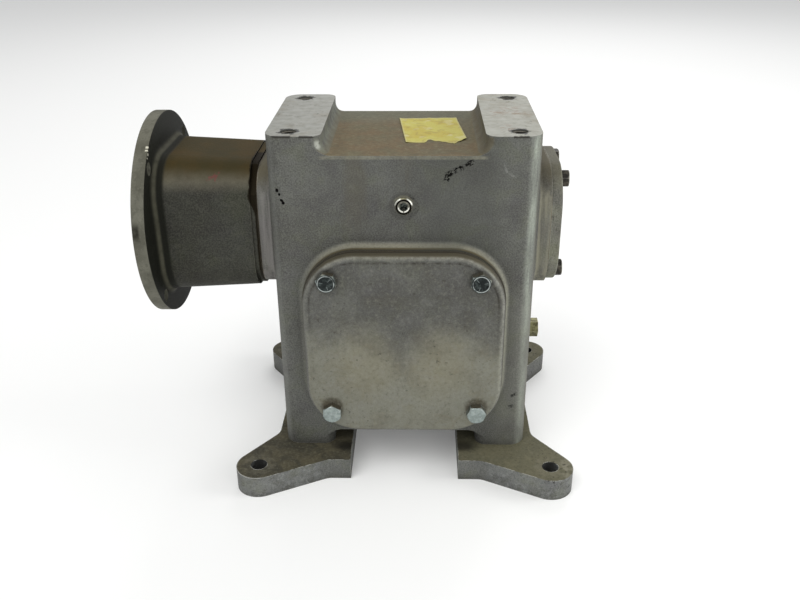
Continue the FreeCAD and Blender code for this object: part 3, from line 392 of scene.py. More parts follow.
def streak(paint, x0, z0, x1, z1, width, wobble):
    """A smear on a front or side wall from one (x, z) place to another, with ragged edges."""
    run = math.hypot(x1 - x0, z1 - z0)
    ax, az = (x1 - x0) / run, (z1 - z0) / run
    along = (paint.x - x0) * ax + (paint.z - z0) * az
    across = (paint.z - z0) * ax - (paint.x - x0) * az
    ragged = paint.noise(wobble, 4.0, 0.7) - 0.5
    offset = abs(across + ragged * width * 2.6)
    return offset.fall(width * 0.35, width) * along.band(0.0, run, width * 0.6)


def smears(paint, rows):
    """Several smears, each times its strength, added up."""
    return sum(streak(paint, *row[:-1]) * row[-1] for row in rows)


def nicks(paint):
    """Small ragged dark spots on the left of the front wall."""
    total = 0.0
    for x, z, radius in NICKS:
        ragged = (paint.noise(0.003, 3.0, 0.7) - 0.5) * radius * 1.6
        place = paint.distance(paint.x - x, paint.z - z) + ragged
        total = total + place.fall(radius * 0.7, radius)
    return total * paint.y.fall(-0.0620, -0.0580)


def outline_distance(paint, half, corner):
    """How far a place lies outside a rounded square round the output axis, in the XZ plane."""
    out_x = abs(paint.x) - (half - corner)
    out_z = abs(paint.z - OUT_Z) - (half - corner)
    inner = out_x.at_least(out_z).at_most(0.0)
    return paint.distance(out_x.at_least(0.0), out_z.at_least(0.0)) + inner - corner


def boss_bands_and_highlight(paint):
    """Bands round the front boss: a pale painted highlight at its root, brown towards its joint
    with the cover.
    """
    outside = outline_distance(paint, BOSS_HALF, BOSS_CORNER)
    # Root: the band that carries a painted highlight.
    root = outside.band(-0.0004, 0.0034, 0.0012) * paint.y.band(-0.0712, -0.0668, 0.0008)
    side = outside.band(-0.0012, 0.0022, 0.0006) * paint.y.fall(-0.0722, -0.0700)
    joint = side * paint.y.fall(-0.0752, -0.0728)
    return root, side, joint


def channel_soil(paint):
    """Dirt on the floor of the top channel, greyer towards the back."""
    dirt = paint.noise(0.030, 5.0, 0.65)
    fine = paint.noise(0.0032, 4.0, 0.70)
    soil = paint.blend(dirt.rise(0.36, 0.64), linear(88, 80, 52), linear(98, 78, 46))
    soil.coat(paint.y.rise(0.010, 0.055) * 0.75, 90, 92, 75)
    soil.coat(fine.rise(0.50, 0.66) * 0.34, 124, 120, 92)
    soil.coat(fine.fall(0.34, 0.48) * 0.40, 60, 54, 38)
    return soil


def milled_metal(paint, scratches, smudges):
    """Milled pads: clouded and specked, rusty on the right, dark round the ragged holes."""
    bright = paint.blend(scratches.rise(0.35, 0.75) * 0.6, colours().machined,
                         linear(163, 162, 152))
    cloudy = paint.noise(0.007, 4.0, 0.55, distortion=0.5)
    bright.coat(cloudy.rise(0.50, 0.70) * 0.40, 104, 103, 90)
    bright.coat(cloudy.fall(0.34, 0.50) * 0.25, 172, 172, 168)
    bright.coat(smudges.rise(0.50, 0.68) * 0.34, 112, 100, 78)
    bright.coat(paint.x.fall(-0.01, 0.0) * 0.18, 122, 119, 106)
    bright.coat(paint.x.rise(0.0, 0.01) * 0.15, 140, 134, 98)
    specks = paint.noise(0.0034, 4.0, 0.75).rise(0.60, 0.64) * smudges.rise(0.44, 0.56)
    bright.coat(specks * 0.60, 58, 54, 45)
    rust = paint.noise(0.009, 5.0, 0.75, distortion=0.8).rise(0.50, 0.62)
    rusty = paint.distance(paint.x - 0.083, paint.y - 0.004).fall(0.006, 0.026)
    rusty = rusty.at_least(paint.distance(paint.x - 0.074, paint.y + 0.043).fall(0.002, 0.014))
    bright.coat(rust * rusty * 0.70, 116, 84, 56)
    hole = paint.distance(abs(paint.x) - PAD_HOLE_X, abs(paint.y) - PAD_HOLE_Y)
    ragged = (paint.noise(0.0045, 4.0, 0.7) - 0.5) * 0.016
    bright.coat((hole + ragged).fall(0.0070, 0.0080) * 0.92, 26, 23, 18)
    return bright


def housing_material():
    """Cast body with milled pads above and below, scuffs on the front and worn pad holes."""
    colour = colours()
    paint = Paint("housing_casting")
    shade, rough, metal, height = cast_skin(
        paint, colour.casting, colour.casting_dark, colour.casting_light, 0.78)
    above = paint.towards("Z")
    side = paint.towards("X")
    root, flank, joint = boss_bands_and_highlight(paint)
    shade.coat(flank * (above * 0.5 + 0.25), 94, 86, 60)
    shade.coat(joint * (above * 0.4 + 0.4), 40, 35, 24)
    grain = paint.noise(0.0016, 3.0).rise(0.20, 0.65) * 0.5 + 0.5
    lit = above.at_least(side.rise(0.15, 0.7) * 0.9)
    # Painted highlight: a pale band on the boss's root fillet, brightest where it faces up or to
    # the right.
    shade.coat(root * grain * (lit * 0.55 + 0.10), 158, 157, 140)
    upright = (1.0 - above).rise(0.2, 0.8) * abs(paint.y).rise(0.056, 0.060)
    right = upright * paint.x.rise(0.084, 0.090)
    uneven = paint.noise(0.006, 4.0, 0.65, paint.stretch(1.0, 1.0, 0.16)).rise(0.34, 0.62)
    # Painted highlight down the rounded right corner of the body, strongest where the surface
    # half faces right.
    corner = side.band(0.40, 0.78, 0.24) * right * grain * (uneven * 0.40 + 0.22)
    corner = corner * (paint.z.rise(0.08, 0.22) * 0.3 + 0.7)
    shade.coat(side.rise(0.80, 0.96) * right * 0.40, 84, 82, 62)
    shade.coat(corner, 180, 188, 174)
    # Painted highlight: a faint pale band down the rounded left corner.
    left = paint.x.band(-0.1010, -0.0965, 0.0015) * upright
    shade.coat(left * grain * 0.20, 150, 152, 146)
    streaks = paint.noise(0.0045, 4.0, 0.6, paint.stretch(1.0, 1.0, 0.06)).rise(0.36, 0.62)
    end_boss = abs(paint.x).rise(0.1030, 0.1045) * (1.0 - above).rise(0.3, 0.8)
    tarnish = paint.blend(paint.x.rise(-0.01, 0.01), linear(140, 136, 133), linear(156, 152, 130))
    shade = paint.blend(end_boss * (streaks * 0.40 + 0.16), shade, tarnish)
    shade.coat(end_boss * paint.z.rise(0.236, 0.250) * 0.4, 86, 76, 50)
    front = paint.y.fall(FRONT_Y + 0.0005, FRONT_Y + 0.0015)
    # Painted shade: the upper front wall darker towards its right.
    right_front_shade = front * paint.x.rise(-0.01, 0.035) * paint.z.rise(0.17, 0.20)
    right_front_shade = right_front_shade * (paint.x.fall(0.060, 0.082) * 0.8 + 0.2)
    shade.coat(right_front_shade * side.fall(0.1, 0.3) * 0.42, 66, 68, 62)
    seat = paint.distance(paint.x, paint.z - FILL_PLUG_Z) + paint.y.rise(-0.01, 0.01)
    above_seat = (paint.z - FILL_PLUG_Z).rise(0.002, 0.006)
    # Painted shade in a ring round the fill plug's seat.
    shade.coat(seat.band(0.0076, 0.0110, 0.0010) * 0.35, 46, 44, 36)
    # Painted highlight on the upper edge of the plug's seat.
    shade.coat(seat.band(0.0068, 0.0086, 0.0006) * above_seat * 0.35, 136, 132, 104)
    flecks = paint.noise(0.0018, 2.0).rise(0.56, 0.62) * seat.band(0.0080, 0.0115, 0.0010)
    shade.coat(flecks * paint.x.rise(0.002, 0.005) * 0.8, 26, 24, 20)
    drips = paint.noise(0.012, 4.0, 0.6, paint.stretch(1.0, 1.0, 0.12)).rise(0.48, 0.66)
    drips = drips * paint.x.band(-0.050, 0.010, 0.015) * paint.z.rise(0.20, 0.23)
    shade.coat(drips * (1.0 - above) * 0.30, 90, 83, 64)
    wall = upright * paint.x.band(-0.060, 0.030, 0.030) * paint.z.rise(0.20, 0.23)
    shade.coat(wall * 0.16, 62, 62, 62)
    lower_wall = upright * paint.x.rise(0.070, 0.082) * paint.z.fall(0.14, 0.18)
    shade.coat(lower_wall * 0.20, 134, 134, 122)
    lip = paint.z.band(TOP_FLOOR - 0.0026, TOP_FLOOR - 0.0001, 0.0005)
    lip = lip * paint.y.band(FRONT_Y - 0.0002, FRONT_Y + 0.0034, 0.0006)
    lip = lip * abs(paint.x).fall(0.058, 0.064)
    uneven = paint.noise(0.009, 5.0, 0.65).rise(0.30, 0.70) * 0.4 + 0.26
    shade.coat(lip * grain * uneven, 156, 154, 133)
    step = paint.z.band(TOP_FLOOR + 0.0015, BODY_TOP - 0.0010, 0.0012)
    step = step * abs(paint.x).band(0.050, 0.0685, 0.001)
    step = step * abs(paint.y).fall(0.0655, 0.0668)
    stained = paint.noise(0.012, 4.0, 0.65).rise(0.35, 0.65)
    shade.coat(step * stained * 0.40, 140, 144, 126)
    # Painted highlight: a small pale crescent on the rounded front left end of the step.
    step_end_highlight = paint.distance(paint.x + 0.0625, paint.y + 0.0650).fall(0.0005, 0.0045)
    step_end_highlight = step_end_highlight * paint.z.band(0.2775, 0.2835, 0.0015)
    flaky = paint.noise(0.0030, 3.0, 0.5).rise(0.42, 0.56)
    shade.coat(step * step_end_highlight * flaky * 0.6, 188, 190, 180)
    shade.coat(step * flaky * paint.z.fall(0.2745, 0.2800) * 0.35, 74, 74, 60)
    shade.coat(step * paint.x.rise(0.0, 0.01) * 0.60, 86, 75, 52)
    floor = paint.z.band(TOP_FLOOR - 0.0008, TOP_FLOOR + 0.0010, 0.0003) * above
    shade = paint.blend(floor * 0.85, shade, channel_soil(paint))
    metal = metal * (1.0 - floor * 0.9)
    top = paint.z.rise(BODY_TOP - 0.00025, BODY_TOP - 0.0001)
    under = paint.z.fall(FOOT_TOP + 0.0001, FOOT_TOP + 0.00025)
    bore = paint.distance(paint.y, paint.z - WORM_Z).fall(WORM_BORE_R, WORM_BORE_R + 0.0002)
    milled = top.at_least(under).at_least(bore)
    scratches = paint.noise(0.0011, 4.0, 0.6, paint.stretch(0.05, 1.0, 1.0))
    smudges = paint.noise(0.02, 5.0, 0.65)
    shade = paint.blend(milled, shade, milled_metal(paint, scratches, smudges))
    rough = rough * (1.0 - milled) + milled * (0.44 + smudges * 0.2)
    metal = metal * (1.0 - milled) + milled * 0.45
    brink = paint.y.fall(-0.0656, -0.0646) * paint.z.rise(0.2858, 0.2866)
    brink = brink * paint.noise(0.012, 3.0, 0.5).rise(0.50, 0.54)
    shade.coat(brink * 0.85, 34, 30, 23)
    torn = paint.noise(0.0023, 4.0, 0.75).rise(0.43, 0.51)
    marks = (smears(paint, SCUFFS) * torn * front + nicks(paint)).at_most(1.0)
    shade.coat(marks * 0.97, 14, 12, 12)
    metal = metal.at_least(marks)
    shade.coat(smears(paint, CURL) * torn * front * 0.22, 160, 162, 156)
    height = height * (1.0 - milled) + scratches * milled * 0.15
    return paint.finish(shade, rough, metal, height, 0.00022)


def foot_material():
    """Cast rails: dusty upper sides, paler front faces, milled where the housing stands."""
    colour = colours()
    paint = Paint("foot_casting")
    shade, rough, metal, height = cast_skin(
        paint, linear(112, 113, 110), linear(92, 93, 90), colour.casting_light, 0.55)
    milled = paint.z.fall(0.0001, 0.0003)
    above = paint.towards("Z")
    upper = above.rise(0.5, 0.9)
    grime = paint.noise(0.016, 5.0, 0.65, distortion=0.5)
    grain = paint.noise(0.0022, 4.0, 0.65)
    soiled = paint.blend(grime.rise(0.36, 0.62), linear(54, 52, 41), linear(80, 75, 57))
    soiled.coat(paint.x.rise(0.02, 0.06) * 0.50, 112, 110, 86)
    soiled.coat(grain.rise(0.50, 0.68) * 0.28, 120, 117, 98)
    soiled.coat(grain.fall(0.34, 0.46) * 0.30, 36, 33, 25)
    shade = paint.blend(upper * 0.86, shade, soiled)
    # Painted shadow on the foot tops beside the arch under the housing.
    nook_shadow = paint.distance(abs(paint.x) - 0.050, (paint.y + 0.070) * 1.6).fall(0.004, 0.017)
    shade.coat(nook_shadow * upper * 0.75, 20, 18, 13)
    hole = paint.distance(abs(paint.x) - FOOT_HOLE_X, abs(paint.y) - FOOT_HOLE_Y)
    patch = paint.noise(0.006, 3.0, 0.55).rise(0.35, 0.6)
    rubbed = hole.band(FOOT_HOLE_R, FOOT_HOLE_R + 0.007, 0.0012) * upper
    shade.coat(rubbed * patch * 0.22, 128, 124, 108)
    # Painted shade: the walls of the foot holes darkened.
    shaded_inside = hole.fall(FOOT_HOLE_R + 0.0003, FOOT_HOLE_R + 0.0008) * (1.0 - upper)
    shade.coat(shaded_inside * 0.85, 20, 19, 16)
    front = (1.0 - above).rise(0.35, 0.9) * paint.y.fall(-0.095, -0.090)
    shade.coat(front * patch * 0.20, 146, 149, 148)
    scraped = paint.noise(0.005, 5.0, 0.75, distortion=0.6)
    shade.coat(front * scraped.rise(0.54, 0.62) * 0.28, 160, 162, 160)
    shade.coat(front * scraped.fall(0.36, 0.44) * 0.35, 78, 76, 68)
    broken = paint.noise(0.010, 4.0, 0.7).rise(0.42, 0.56)
    line = paint.edge(0.0012) * paint.z.rise(0.0165, 0.0175)
    shade.coat(line * broken * 0.70, 196, 196, 188)
    shade.coat(line * (1.0 - broken) * 0.55, 46, 42, 32)
    tip = paint.x.rise(0.1270, 0.1320) * paint.y.fall(-0.090, -0.086) * patch
    shade.coat(tip * upper * 0.30, 160, 156, 138)
    glint = paint.edge(0.0012) * paint.x.fall(-0.1180, -0.1120) * paint.y.fall(-0.104, -0.098)
    shade.coat(glint * paint.z.rise(0.0165, 0.0175) * 0.8, 206, 206, 200)
    flecks = paint.noise(0.0034, 3.0, 0.7).rise(0.60, 0.66) * paint.x.rise(0.10, 0.12)
    shade.coat(flecks * 0.65, 36, 32, 25)
    shade = paint.blend(milled * 0.8, shade, colour.machined)
    rough = rough - milled * 0.2
    metal = (metal - upper * 0.4 - shaded_inside).at_least(0.0)
    return paint.finish(shade, rough, metal, height, 0.00022, 0.25)


def cover_material():
    """Cast cover, cleaner and paler below, with a band of rubbed wear and painted highlight round
    its front rounding.
    """
    paint = Paint("cover_casting")
    shade, rough, metal, height = cast_skin(
        paint, linear(100, 100, 95), linear(87, 87, 82), colours().casting_light, 0.50, 0.6)
    waver = (paint.noise(0.03) - 0.5) * 0.05
    middle = abs(paint.x).fall(0.0, 0.024) * 0.014
    low = (paint.z + waver + middle).fall(0.108, 0.158)
    front = paint.y.fall(COVER_FACE_Y + 0.0004, COVER_FACE_Y + 0.0012)
    shade.coat(low * front * 0.60, 134, 134, 119)
    tan = paint.distance(abs(paint.x) - 0.028, (paint.z - 0.110) * 0.8).fall(0.008, 0.036)
    shade.coat(tan * front * 0.30, 140, 134, 108)
    shade.coat((1.0 - low) * front * 0.45, 70, 70, 67)
    tone = paint.noise(0.022)
    shade.coat(tone.rise(0.46, 0.70) * front * 0.16, 132, 132, 132)
    shade.coat(tone.fall(0.30, 0.52) * front * 0.22, 84, 80, 64)
    outside = outline_distance(paint, COVER_HALF, COVER_CORNER)
    above = paint.towards("Z")
    lit = above.at_least(paint.towards("X").rise(0.15, 0.7) * 0.9)
    patch = paint.noise(0.0018).rise(0.20, 0.65) * 0.6 + 0.4
    sides = outside.band(-0.0008, 0.0010, 0.0005) * (above * 0.5 + 0.2)
    shade.coat(sides, 70, 63, 44)
    joint = paint.y.rise(-0.0790, -0.0775) * (above * 0.3 + 0.45)
    shade.coat(joint * outside.rise(-0.0010, 0.0), 38, 34, 24)
    chipped = paint.noise(0.005, 5.0, 0.75).rise(0.36, 0.60)
    # Rubbed wear and painted highlight on the front rounding, brighter where it faces up or to
    # the right.
    rounding = outside.band(-0.0034, -0.0008, 0.0007) * (lit * chipped * 0.40 + 0.08)
    shade.coat(rounding * patch, 178, 178, 165)
    groove = outside.band(-0.0060, -0.0044, 0.0005) * paint.z.rise(OUT_Z, OUT_Z + 0.05)
    shade.coat(groove * front * chipped * 0.70, 42, 38, 31)
    ring = 0.0
    for side in (-1, 1):
        x = paint.x - side * COVER_BOLT
        # Dust and painted shadow: a dark brown patch just above each lower bolt head.
        halo_dust_and_shadow = paint.distance(x, paint.z - (OUT_Z - COVER_BOLT + 0.0042)).fall(0.0070, 0.0105)
        shade.coat(halo_dust_and_shadow * front * patch * 0.75, 66, 58, 42)
        # Painted shade: a darker ring on the cover round each upper bolt head.
        ring = ring + paint.distance(x, paint.z - (OUT_Z + COVER_BOLT)).fall(0.0078, 0.0104)
    shade.coat(ring.at_most(1.0) * front * 0.5, 52, 50, 44)
    mottle = paint.noise(0.0032)
    shade.coat(mottle.rise(0.50, 0.74) * front * 0.20, 158, 157, 140)
    shade.coat(mottle.fall(0.30, 0.48) * front * 0.28, 70, 66, 54)
    streaky = paint.noise(0.016, 5.0, 0.65, distortion=1.2).rise(0.50, 0.62)
    shade.coat(streaky * low * front * 0.16, 104, 94, 66)
    pits = paint.noise(0.0042, 3.0).rise(0.66, 0.70) * front
    shade.coat(pits * 0.45, 54, 50, 40)
    rough = rough - front * 0.06
    return paint.finish(shade, rough, metal + front * 0.08, height, 0.00018)


def cap_material():
    """Tan-grey cast end cap."""
    paint = Paint("cap_casting")
    shade, rough, metal, height = cast_skin(
        paint, colours().cap, linear(100, 100, 90), linear(166, 166, 152), 0.35)
    stained = paint.noise(0.018, 5.0, 0.65).rise(0.50, 0.68)
    shade.coat(stained * 0.3, 88, 82, 64)
    marks = paint.noise(0.0036, 3.0, 0.7, paint.stretch(2.0, 1.0, 0.6)).rise(0.60, 0.66)
    shade.coat(marks * 0.5, 52, 48, 38)
    return paint.finish(shade, rough, metal, height, 0.0002)


def adapter_material():
    """Dark cast tube with brown dust above, a red paint smear and a turned flange face."""
    colour = colours()
    paint = Paint("adapter_casting")
    shade, rough, metal, height = cast_skin(
        paint, colour.adapter, linear(52, 52, 46), linear(116, 114, 102), 0.4)
    above = paint.towards("Z")
    patch = paint.noise(0.007).rise(0.20, 0.70) * 0.5 + 0.5
    barrel = paint.x.rise(FLANGE_BACK_X + 0.007, FLANGE_BACK_X + 0.010)
    upper = above.rise(0.48, 0.88) * barrel
    brown = paint.blend(paint.noise(0.03, 5.0, 0.65).rise(0.30, 0.70), linear(60, 53, 28),
                        linear(72, 58, 27))
    shade = paint.blend(upper * 0.92, shade, brown)
    # Painted highlight on the tube's rounded top front corner.
    band = above.band(0.42, 0.74, 0.18) * paint.y.fall(-0.004, 0.0) * barrel
    shade.coat(band * patch * 0.42, 122, 117, 101)
    # Painted shade on the flange's back face.
    back = (1.0 - barrel) * paint.x.rise(FLANGE_BACK_X - 0.0002, FLANGE_BACK_X)
    shade.coat(back * 0.88, 22, 23, 16)
    # Painted highlight on the fillet at the flange's root.
    root = paint.x.band(FLANGE_BACK_X + 0.0010, FLANGE_BACK_X + 0.0034, 0.0009)
    shade.coat(root * patch * 0.38, 118, 116, 98)
    # Painted shade in the crease just past the flange's root fillet.
    crease = paint.x.band(FLANGE_BACK_X + 0.0044, FLANGE_BACK_X + 0.0054, 0.0006)
    shade.coat(crease * 0.40, 24, 23, 17)
    # Soot and painted shade: a dark band round the neck at the joint with the housing, wide at
    # the top front, thin below.
    upper_neck = paint.z.rise(WORM_Z + 0.014, WORM_Z + 0.030)
    ragged = (paint.noise(0.012, 4.0, 0.7) - 0.5) * (upper_neck * 0.004 + 0.001)
    thick = upper_neck * 0.0036 + 0.0003
    neck = (abs(paint.x - NECK_SOOT_AND_SHADE_X + ragged) - thick).fall(0.0, 0.0013)
    neck = neck * paint.y.fall(-0.006, 0.0)
    shade.coat(neck * 0.92, 33, 28, 19)
    rim = paint.x.fall(FLANGE_BACK_X - 0.0004, FLANGE_BACK_X)
    flange = paint.blend(paint.noise(0.02, 5.0).rise(0.35, 0.65), linear(97, 96, 85),
                         linear(122, 121, 109))
    flange.coat(paint.noise(0.0016, 3.0).rise(0.52, 0.68) * 0.35, 134, 132, 118)
    flange.coat(paint.noise(0.0050, 5.0, 0.75).rise(0.52, 0.60) * 0.35, 54, 53, 44)
    shade = paint.blend(rim * 0.8, shade, flange)
    radius = paint.distance(paint.y, paint.z - WORM_Z)
    chips = 0.0
    for y, z, size in FLANGE_CHIPS:
        spot = paint.distance(paint.y - y, paint.z - z).fall(size * 0.0008, size * 0.0014)
        chips = spot + chips
    chips = chips.at_most(1.0) * paint.x.rise(-0.1950, -0.1942) * (1.0 - barrel)
    shade.coat(chips * 0.75, 226, 222, 202)
    stain = paint.z.band(WORM_Z + 0.007, WORM_Z + 0.018, 0.004) * radius.rise(0.079, 0.080)
    stain = stain * paint.x.fall(-0.1985, -0.1965)
    shade.coat(stain * rim * patch * 0.9, 22, 20, 15)
    face = paint.x.fall(FLANGE_FACE_X + 0.00005, FLANGE_FACE_X + 0.0002)
    pilot = radius.fall(PILOT_R, PILOT_R + 0.0002)
    pilot = pilot * paint.x.fall(PILOT_FLOOR_X - 0.0002, PILOT_FLOOR_X)
    turned = face.at_least(pilot)
    rings = (radius * (2 * math.pi / 0.0007)).sine()
    pale = paint.blend(rings * 0.2 + 0.3, colour.machined, linear(140, 138, 132))
    pale.coat(paint.noise(0.014).rise(0.52, 0.7) * 0.4, 116, 98, 70)
    shade = paint.blend(turned, shade, pale)
    smear = streak(paint, *RED_PAINT[0]).at_least(streak(paint, *RED_PAINT[1]))
    smear = smear * paint.noise(0.0032, 4.0, 0.75).rise(0.40, 0.54) * paint.y.fall(-0.03, -0.02)
    shade.coat(smear * 0.62, 108, 50, 52)
    metal = (metal + upper * 0.10 - smear * 0.4 - back * 0.1 - chips).at_least(neck * 0.95)
    # Painted shade inside the bore, behind the pilot.
    shaded_inside = radius.fall(0.044, 0.047)
    shade.coat(shaded_inside * paint.x.rise(PILOT_FLOOR_X, PILOT_FLOOR_X + 0.0002) * 0.4, 40, 38, 34)
    rough = rough * (1.0 - turned) + turned * (0.36 + rings * 0.04)
    metal = metal * (1.0 - turned) + turned * 0.8
    height = height * (1.0 - turned) + rings * turned * 0.12
    return paint.finish(shade, rough, metal, height, 0.00022, 0.15)


def bolt_skin(paint, radius, face, dirty):
    """Plated hex head: bright rim of wear and painted highlight, grimy face where dirty is 1,
    streaked flanks.
    """
    cloud = paint.noise(0.0035)
    plate = paint.blend(cloud.rise(0.35, 0.7), linear(132, 142, 139), colours().zinc)
    plate.coat(paint.noise(0.0012, 3.0, 0.7).rise(0.56, 0.7) * 0.5, 96, 92, 78)
    grime = face * dirty * (cloud * 0.2 + 0.85).at_most(1.0)
    worn = paint.noise(0.0026, 3.0).rise(0.50, 0.62)
    grimy = paint.blend(worn * 0.5, linear(17, 21, 22), linear(74, 82, 80))
    plate = paint.blend(grime, plate, grimy)
    flank = (1.0 - face) * paint.noise(0.005, 4.0, 0.7).rise(0.35, 0.6)
    plate.coat(flank * 0.6, 92, 86, 68)
    patchy = paint.noise(0.0050, 3.0, 0.5).rise(0.40, 0.56)
    # Rim: rubbed wear with a painted highlight on the head's chamfer.
    rim = face * radius.band(0.0060, 0.0066, 0.0003) * dirty * (patchy * 0.75 + 0.12)
    plate.coat(rim * 0.8, 206, 213, 210)
    return plate, 0.34 + cloud * 0.2


def cover_bolt_material():
    """Cover bolts: the upper pair has grimy faces with three raised grade lines."""
    paint = Paint("zinc_steel")
    dx = abs(paint.x) - COVER_BOLT
    dz = abs(paint.z - OUT_Z) - COVER_BOLT
    radius = paint.distance(dx, dz)
    face = paint.y.fall(COVER_FACE_Y - COVER_HEAD + 0.0001, COVER_FACE_Y - COVER_HEAD + 0.0009)
    upper = paint.z.rise(OUT_Z - 0.01, OUT_Z + 0.01)
    plate, rough = bolt_skin(paint, radius, face, upper)
    angle = dz.math("ARCTAN2", dz, dx)
    line = (angle * 3.0 + 0.9).sine().rise(0.955, 0.985)
    line = line * radius.band(0.0022, 0.0052, 0.0003) * face
    plate.coat(line * upper * 0.30, 158, 168, 166)
    above = paint.towards("Z").rise(0.4, 0.9) * (1.0 - face)
    plate.coat(above * 0.85, 62, 54, 38)
    height = line * 0.8 + paint.noise(0.0008, 3.0, 0.55) * 0.12
    metal = 0.9 - above * 0.5
    return paint.finish(plate, rough, metal, height, 0.0002)


def cap_bolt_material():
    """Bolts of the end cap: dark, with rubbed bright corners."""
    paint = Paint("cap_bolt_steel")
    radius = paint.distance(abs(paint.y) - CAP_BOLT_Y, abs(paint.z - WORM_Z) - CAP_BOLT_Z)
    face = paint.x.rise(CAP_FACE_X + 0.0052, CAP_FACE_X + 0.0059)
    cloud = paint.noise(0.003)
    plate = paint.blend(cloud.rise(0.4, 0.7), linear(44, 42, 38), linear(86, 82, 72))
    rim = face * radius.rise(0.0050, 0.0057)
    wear = paint.edge(0.0008).at_least(rim)
    plate.coat(wear * 0.6, 196, 194, 184)
    return paint.finish(plate, 0.42 + cloud * 0.2, 0.75, cloud * 0.3, 0.00015)


def fill_plug_material():
    """Socketed plug: painted shade in the hollow, painted highlight on the lip below it, a black
    ring of painted shade, painted highlight on the upper outer rim.
    """
    paint = Paint("plug_steel")
    height = paint.z - FILL_PLUG_Z
    radius = paint.distance(paint.x, height)
    cloud = paint.noise(0.0028)
    plate = paint.blend(cloud.rise(0.35, 0.65), linear(96, 94, 84), linear(128, 126, 116))
    # Painted shade: the hex socket darkened, with grey patches.
    socket = radius.fall(0.0032, 0.0034)
    hollow = paint.blend(paint.noise(0.0018, 3.0).rise(0.42, 0.60), linear(34, 40, 41),
                         linear(112, 118, 112))
    plate = paint.blend(socket, plate, hollow)
    # Painted highlight on the lower lip of the socket.
    low = height.fall(-0.0014, 0.0004) * abs(paint.x).rise(0.0001, 0.0006)
    plate.coat(radius.band(0.0034, 0.0044, 0.0002) * low, 232, 232, 222)
    # A black ring of painted shade in the gap round the plug.
    ring = radius.band(0.0046, 0.0060, 0.0002)
    plate.coat(ring * 0.98, 10, 10, 8)
    # Painted highlight on the upper outer rim.
    high = height.rise(0.0002, 0.0024) * abs(paint.x).rise(0.0014, 0.0030)
    plate.coat(radius.rise(0.0060, 0.0062) * high * 0.9, 234, 234, 222)
    olive = radius.rise(0.0060, 0.0062) * (1.0 - high) * height.rise(0.003, 0.005)
    plate.coat(olive * 0.8, 132, 129, 100)
    return paint.finish(plate, 0.34 + cloud * 0.24, 0.8 + ring * 0.2, cloud, 0.00008)


def level_plug_material():
    """Olive brass hex plug with bright worn patches on its end."""
    paint = Paint("plug_brass")
    cloud = paint.noise(0.0045)
    plate = paint.blend(cloud.rise(0.40, 0.62), linear(84, 80, 56), colours().brass)
    face = paint.x.rise(LEVEL_PLUG_END - 0.0004, LEVEL_PLUG_END - 0.0001)
    worn = paint.edge(0.0008).at_least(face * cloud.rise(0.46, 0.56))
    plate.coat(worn * 0.6, 206, 204, 168)
    return paint.finish(plate, 0.36 + cloud * 0.2, 0.85, cloud, 0.00012)


def plain_metal(name, colour, dark, roughness, metallic, scratch=(1.0, 1.0, 1.0)):
    """Ground, turned or plated metal with fine scratches, stains and rubbed edges."""
    paint = Paint(name)
    lines = paint.noise(0.0008, 4.0, 0.6, paint.stretch(*scratch))
    stain = paint.noise(0.014, 5.0)
    shade = paint.blend(stain.rise(0.45, 0.75) * 0.5, colour, dark)
    shade = paint.blend(lines.rise(0.5, 0.8) * 0.25, shade, dark)
    light = tuple(min(1.0, c * 1.5 + 0.08) for c in colour)
    shade = paint.blend(paint.edge(0.0007) * 0.5, shade, light)
    rough = roughness + (lines - 0.5) * 0.16 + stain * 0.1
    return paint.finish(shade, rough, metallic, lines, 0.00005)


def rubber_material():
    paint = Paint("seal_rubber")
    fine = paint.noise(0.0009)
    dusty = paint.noise(0.009).rise(0.45, 0.7)
    shade = paint.blend(dusty * 0.4, colours().rubber, linear(84, 78, 66))
    return paint.finish(shade, 0.55 + fine * 0.15 + dusty * 0.1, 0.0, fine, 0.00008)


def fibre_material():
    paint = Paint("gasket_fibre")
    strands = paint.noise(0.0014, 5.0, 0.7, distortion=1.5)
    oil = paint.noise(0.01).rise(0.4, 0.7)
    shade = paint.blend(strands.rise(0.4, 0.7), colours().fibre, linear(60, 50, 36))
    shade.coat(oil * 0.5, 34, 28, 20)
    return paint.finish(shade, 0.75 - oil * 0.25, 0.0, strands, 0.0001)


def paper_material():
    """Blank yellow label: blotted, creased, darker towards its torn edge."""
    paint = Paint("label_paper")
    cloud = paint.noise(0.016, 3.0, 0.5)
    fine = paint.noise(0.0012)
    shade = paint.blend(cloud.rise(0.42, 0.58) * 0.8, colours().paper, linear(172, 154, 40))
    shade.coat(fine.rise(0.52, 0.72) * 0.35, 186, 180, 118)
    stain = paint.noise(0.008, 3.0, 0.5, distortion=0.8).rise(0.52, 0.64)
    shade.coat(stain * 0.40, 138, 116, 44)
    rubbed = paint.noise(0.010, 3.0, 0.5).rise(0.56, 0.66)
    shade.coat(rubbed * 0.40, 198, 194, 150)
    shade.coat(paint.edge(0.0010) * 0.5, 186, 180, 136)
    return paint.finish(shade, 0.62 + fine * 0.1, 0.0, fine + cloud, 0.00012)


class REDUCER_OT_housing(bpy.types.Operator):
    """Cast finish of the housing and its foot rails"""

    bl_idname = "reducer.housing"
    bl_label = "Housing and feet"

    def execute(self, context):
        dress(housing_material(), "housing")
        dress(foot_material(), "left_foot", "right_foot")
        return {"FINISHED"}


class REDUCER_OT_covers(bpy.types.Operator):
    """Finish of the front cover, the end cap and the motor adapter"""

    bl_idname = "reducer.covers"
    bl_label = "Covers and adapter"

    def execute(self, context):
        dress(cover_material(), "output_cover")
        dress(cap_material(), "end_cap")
        dress(adapter_material(), "motor_adapter")
        return {"FINISHED"}


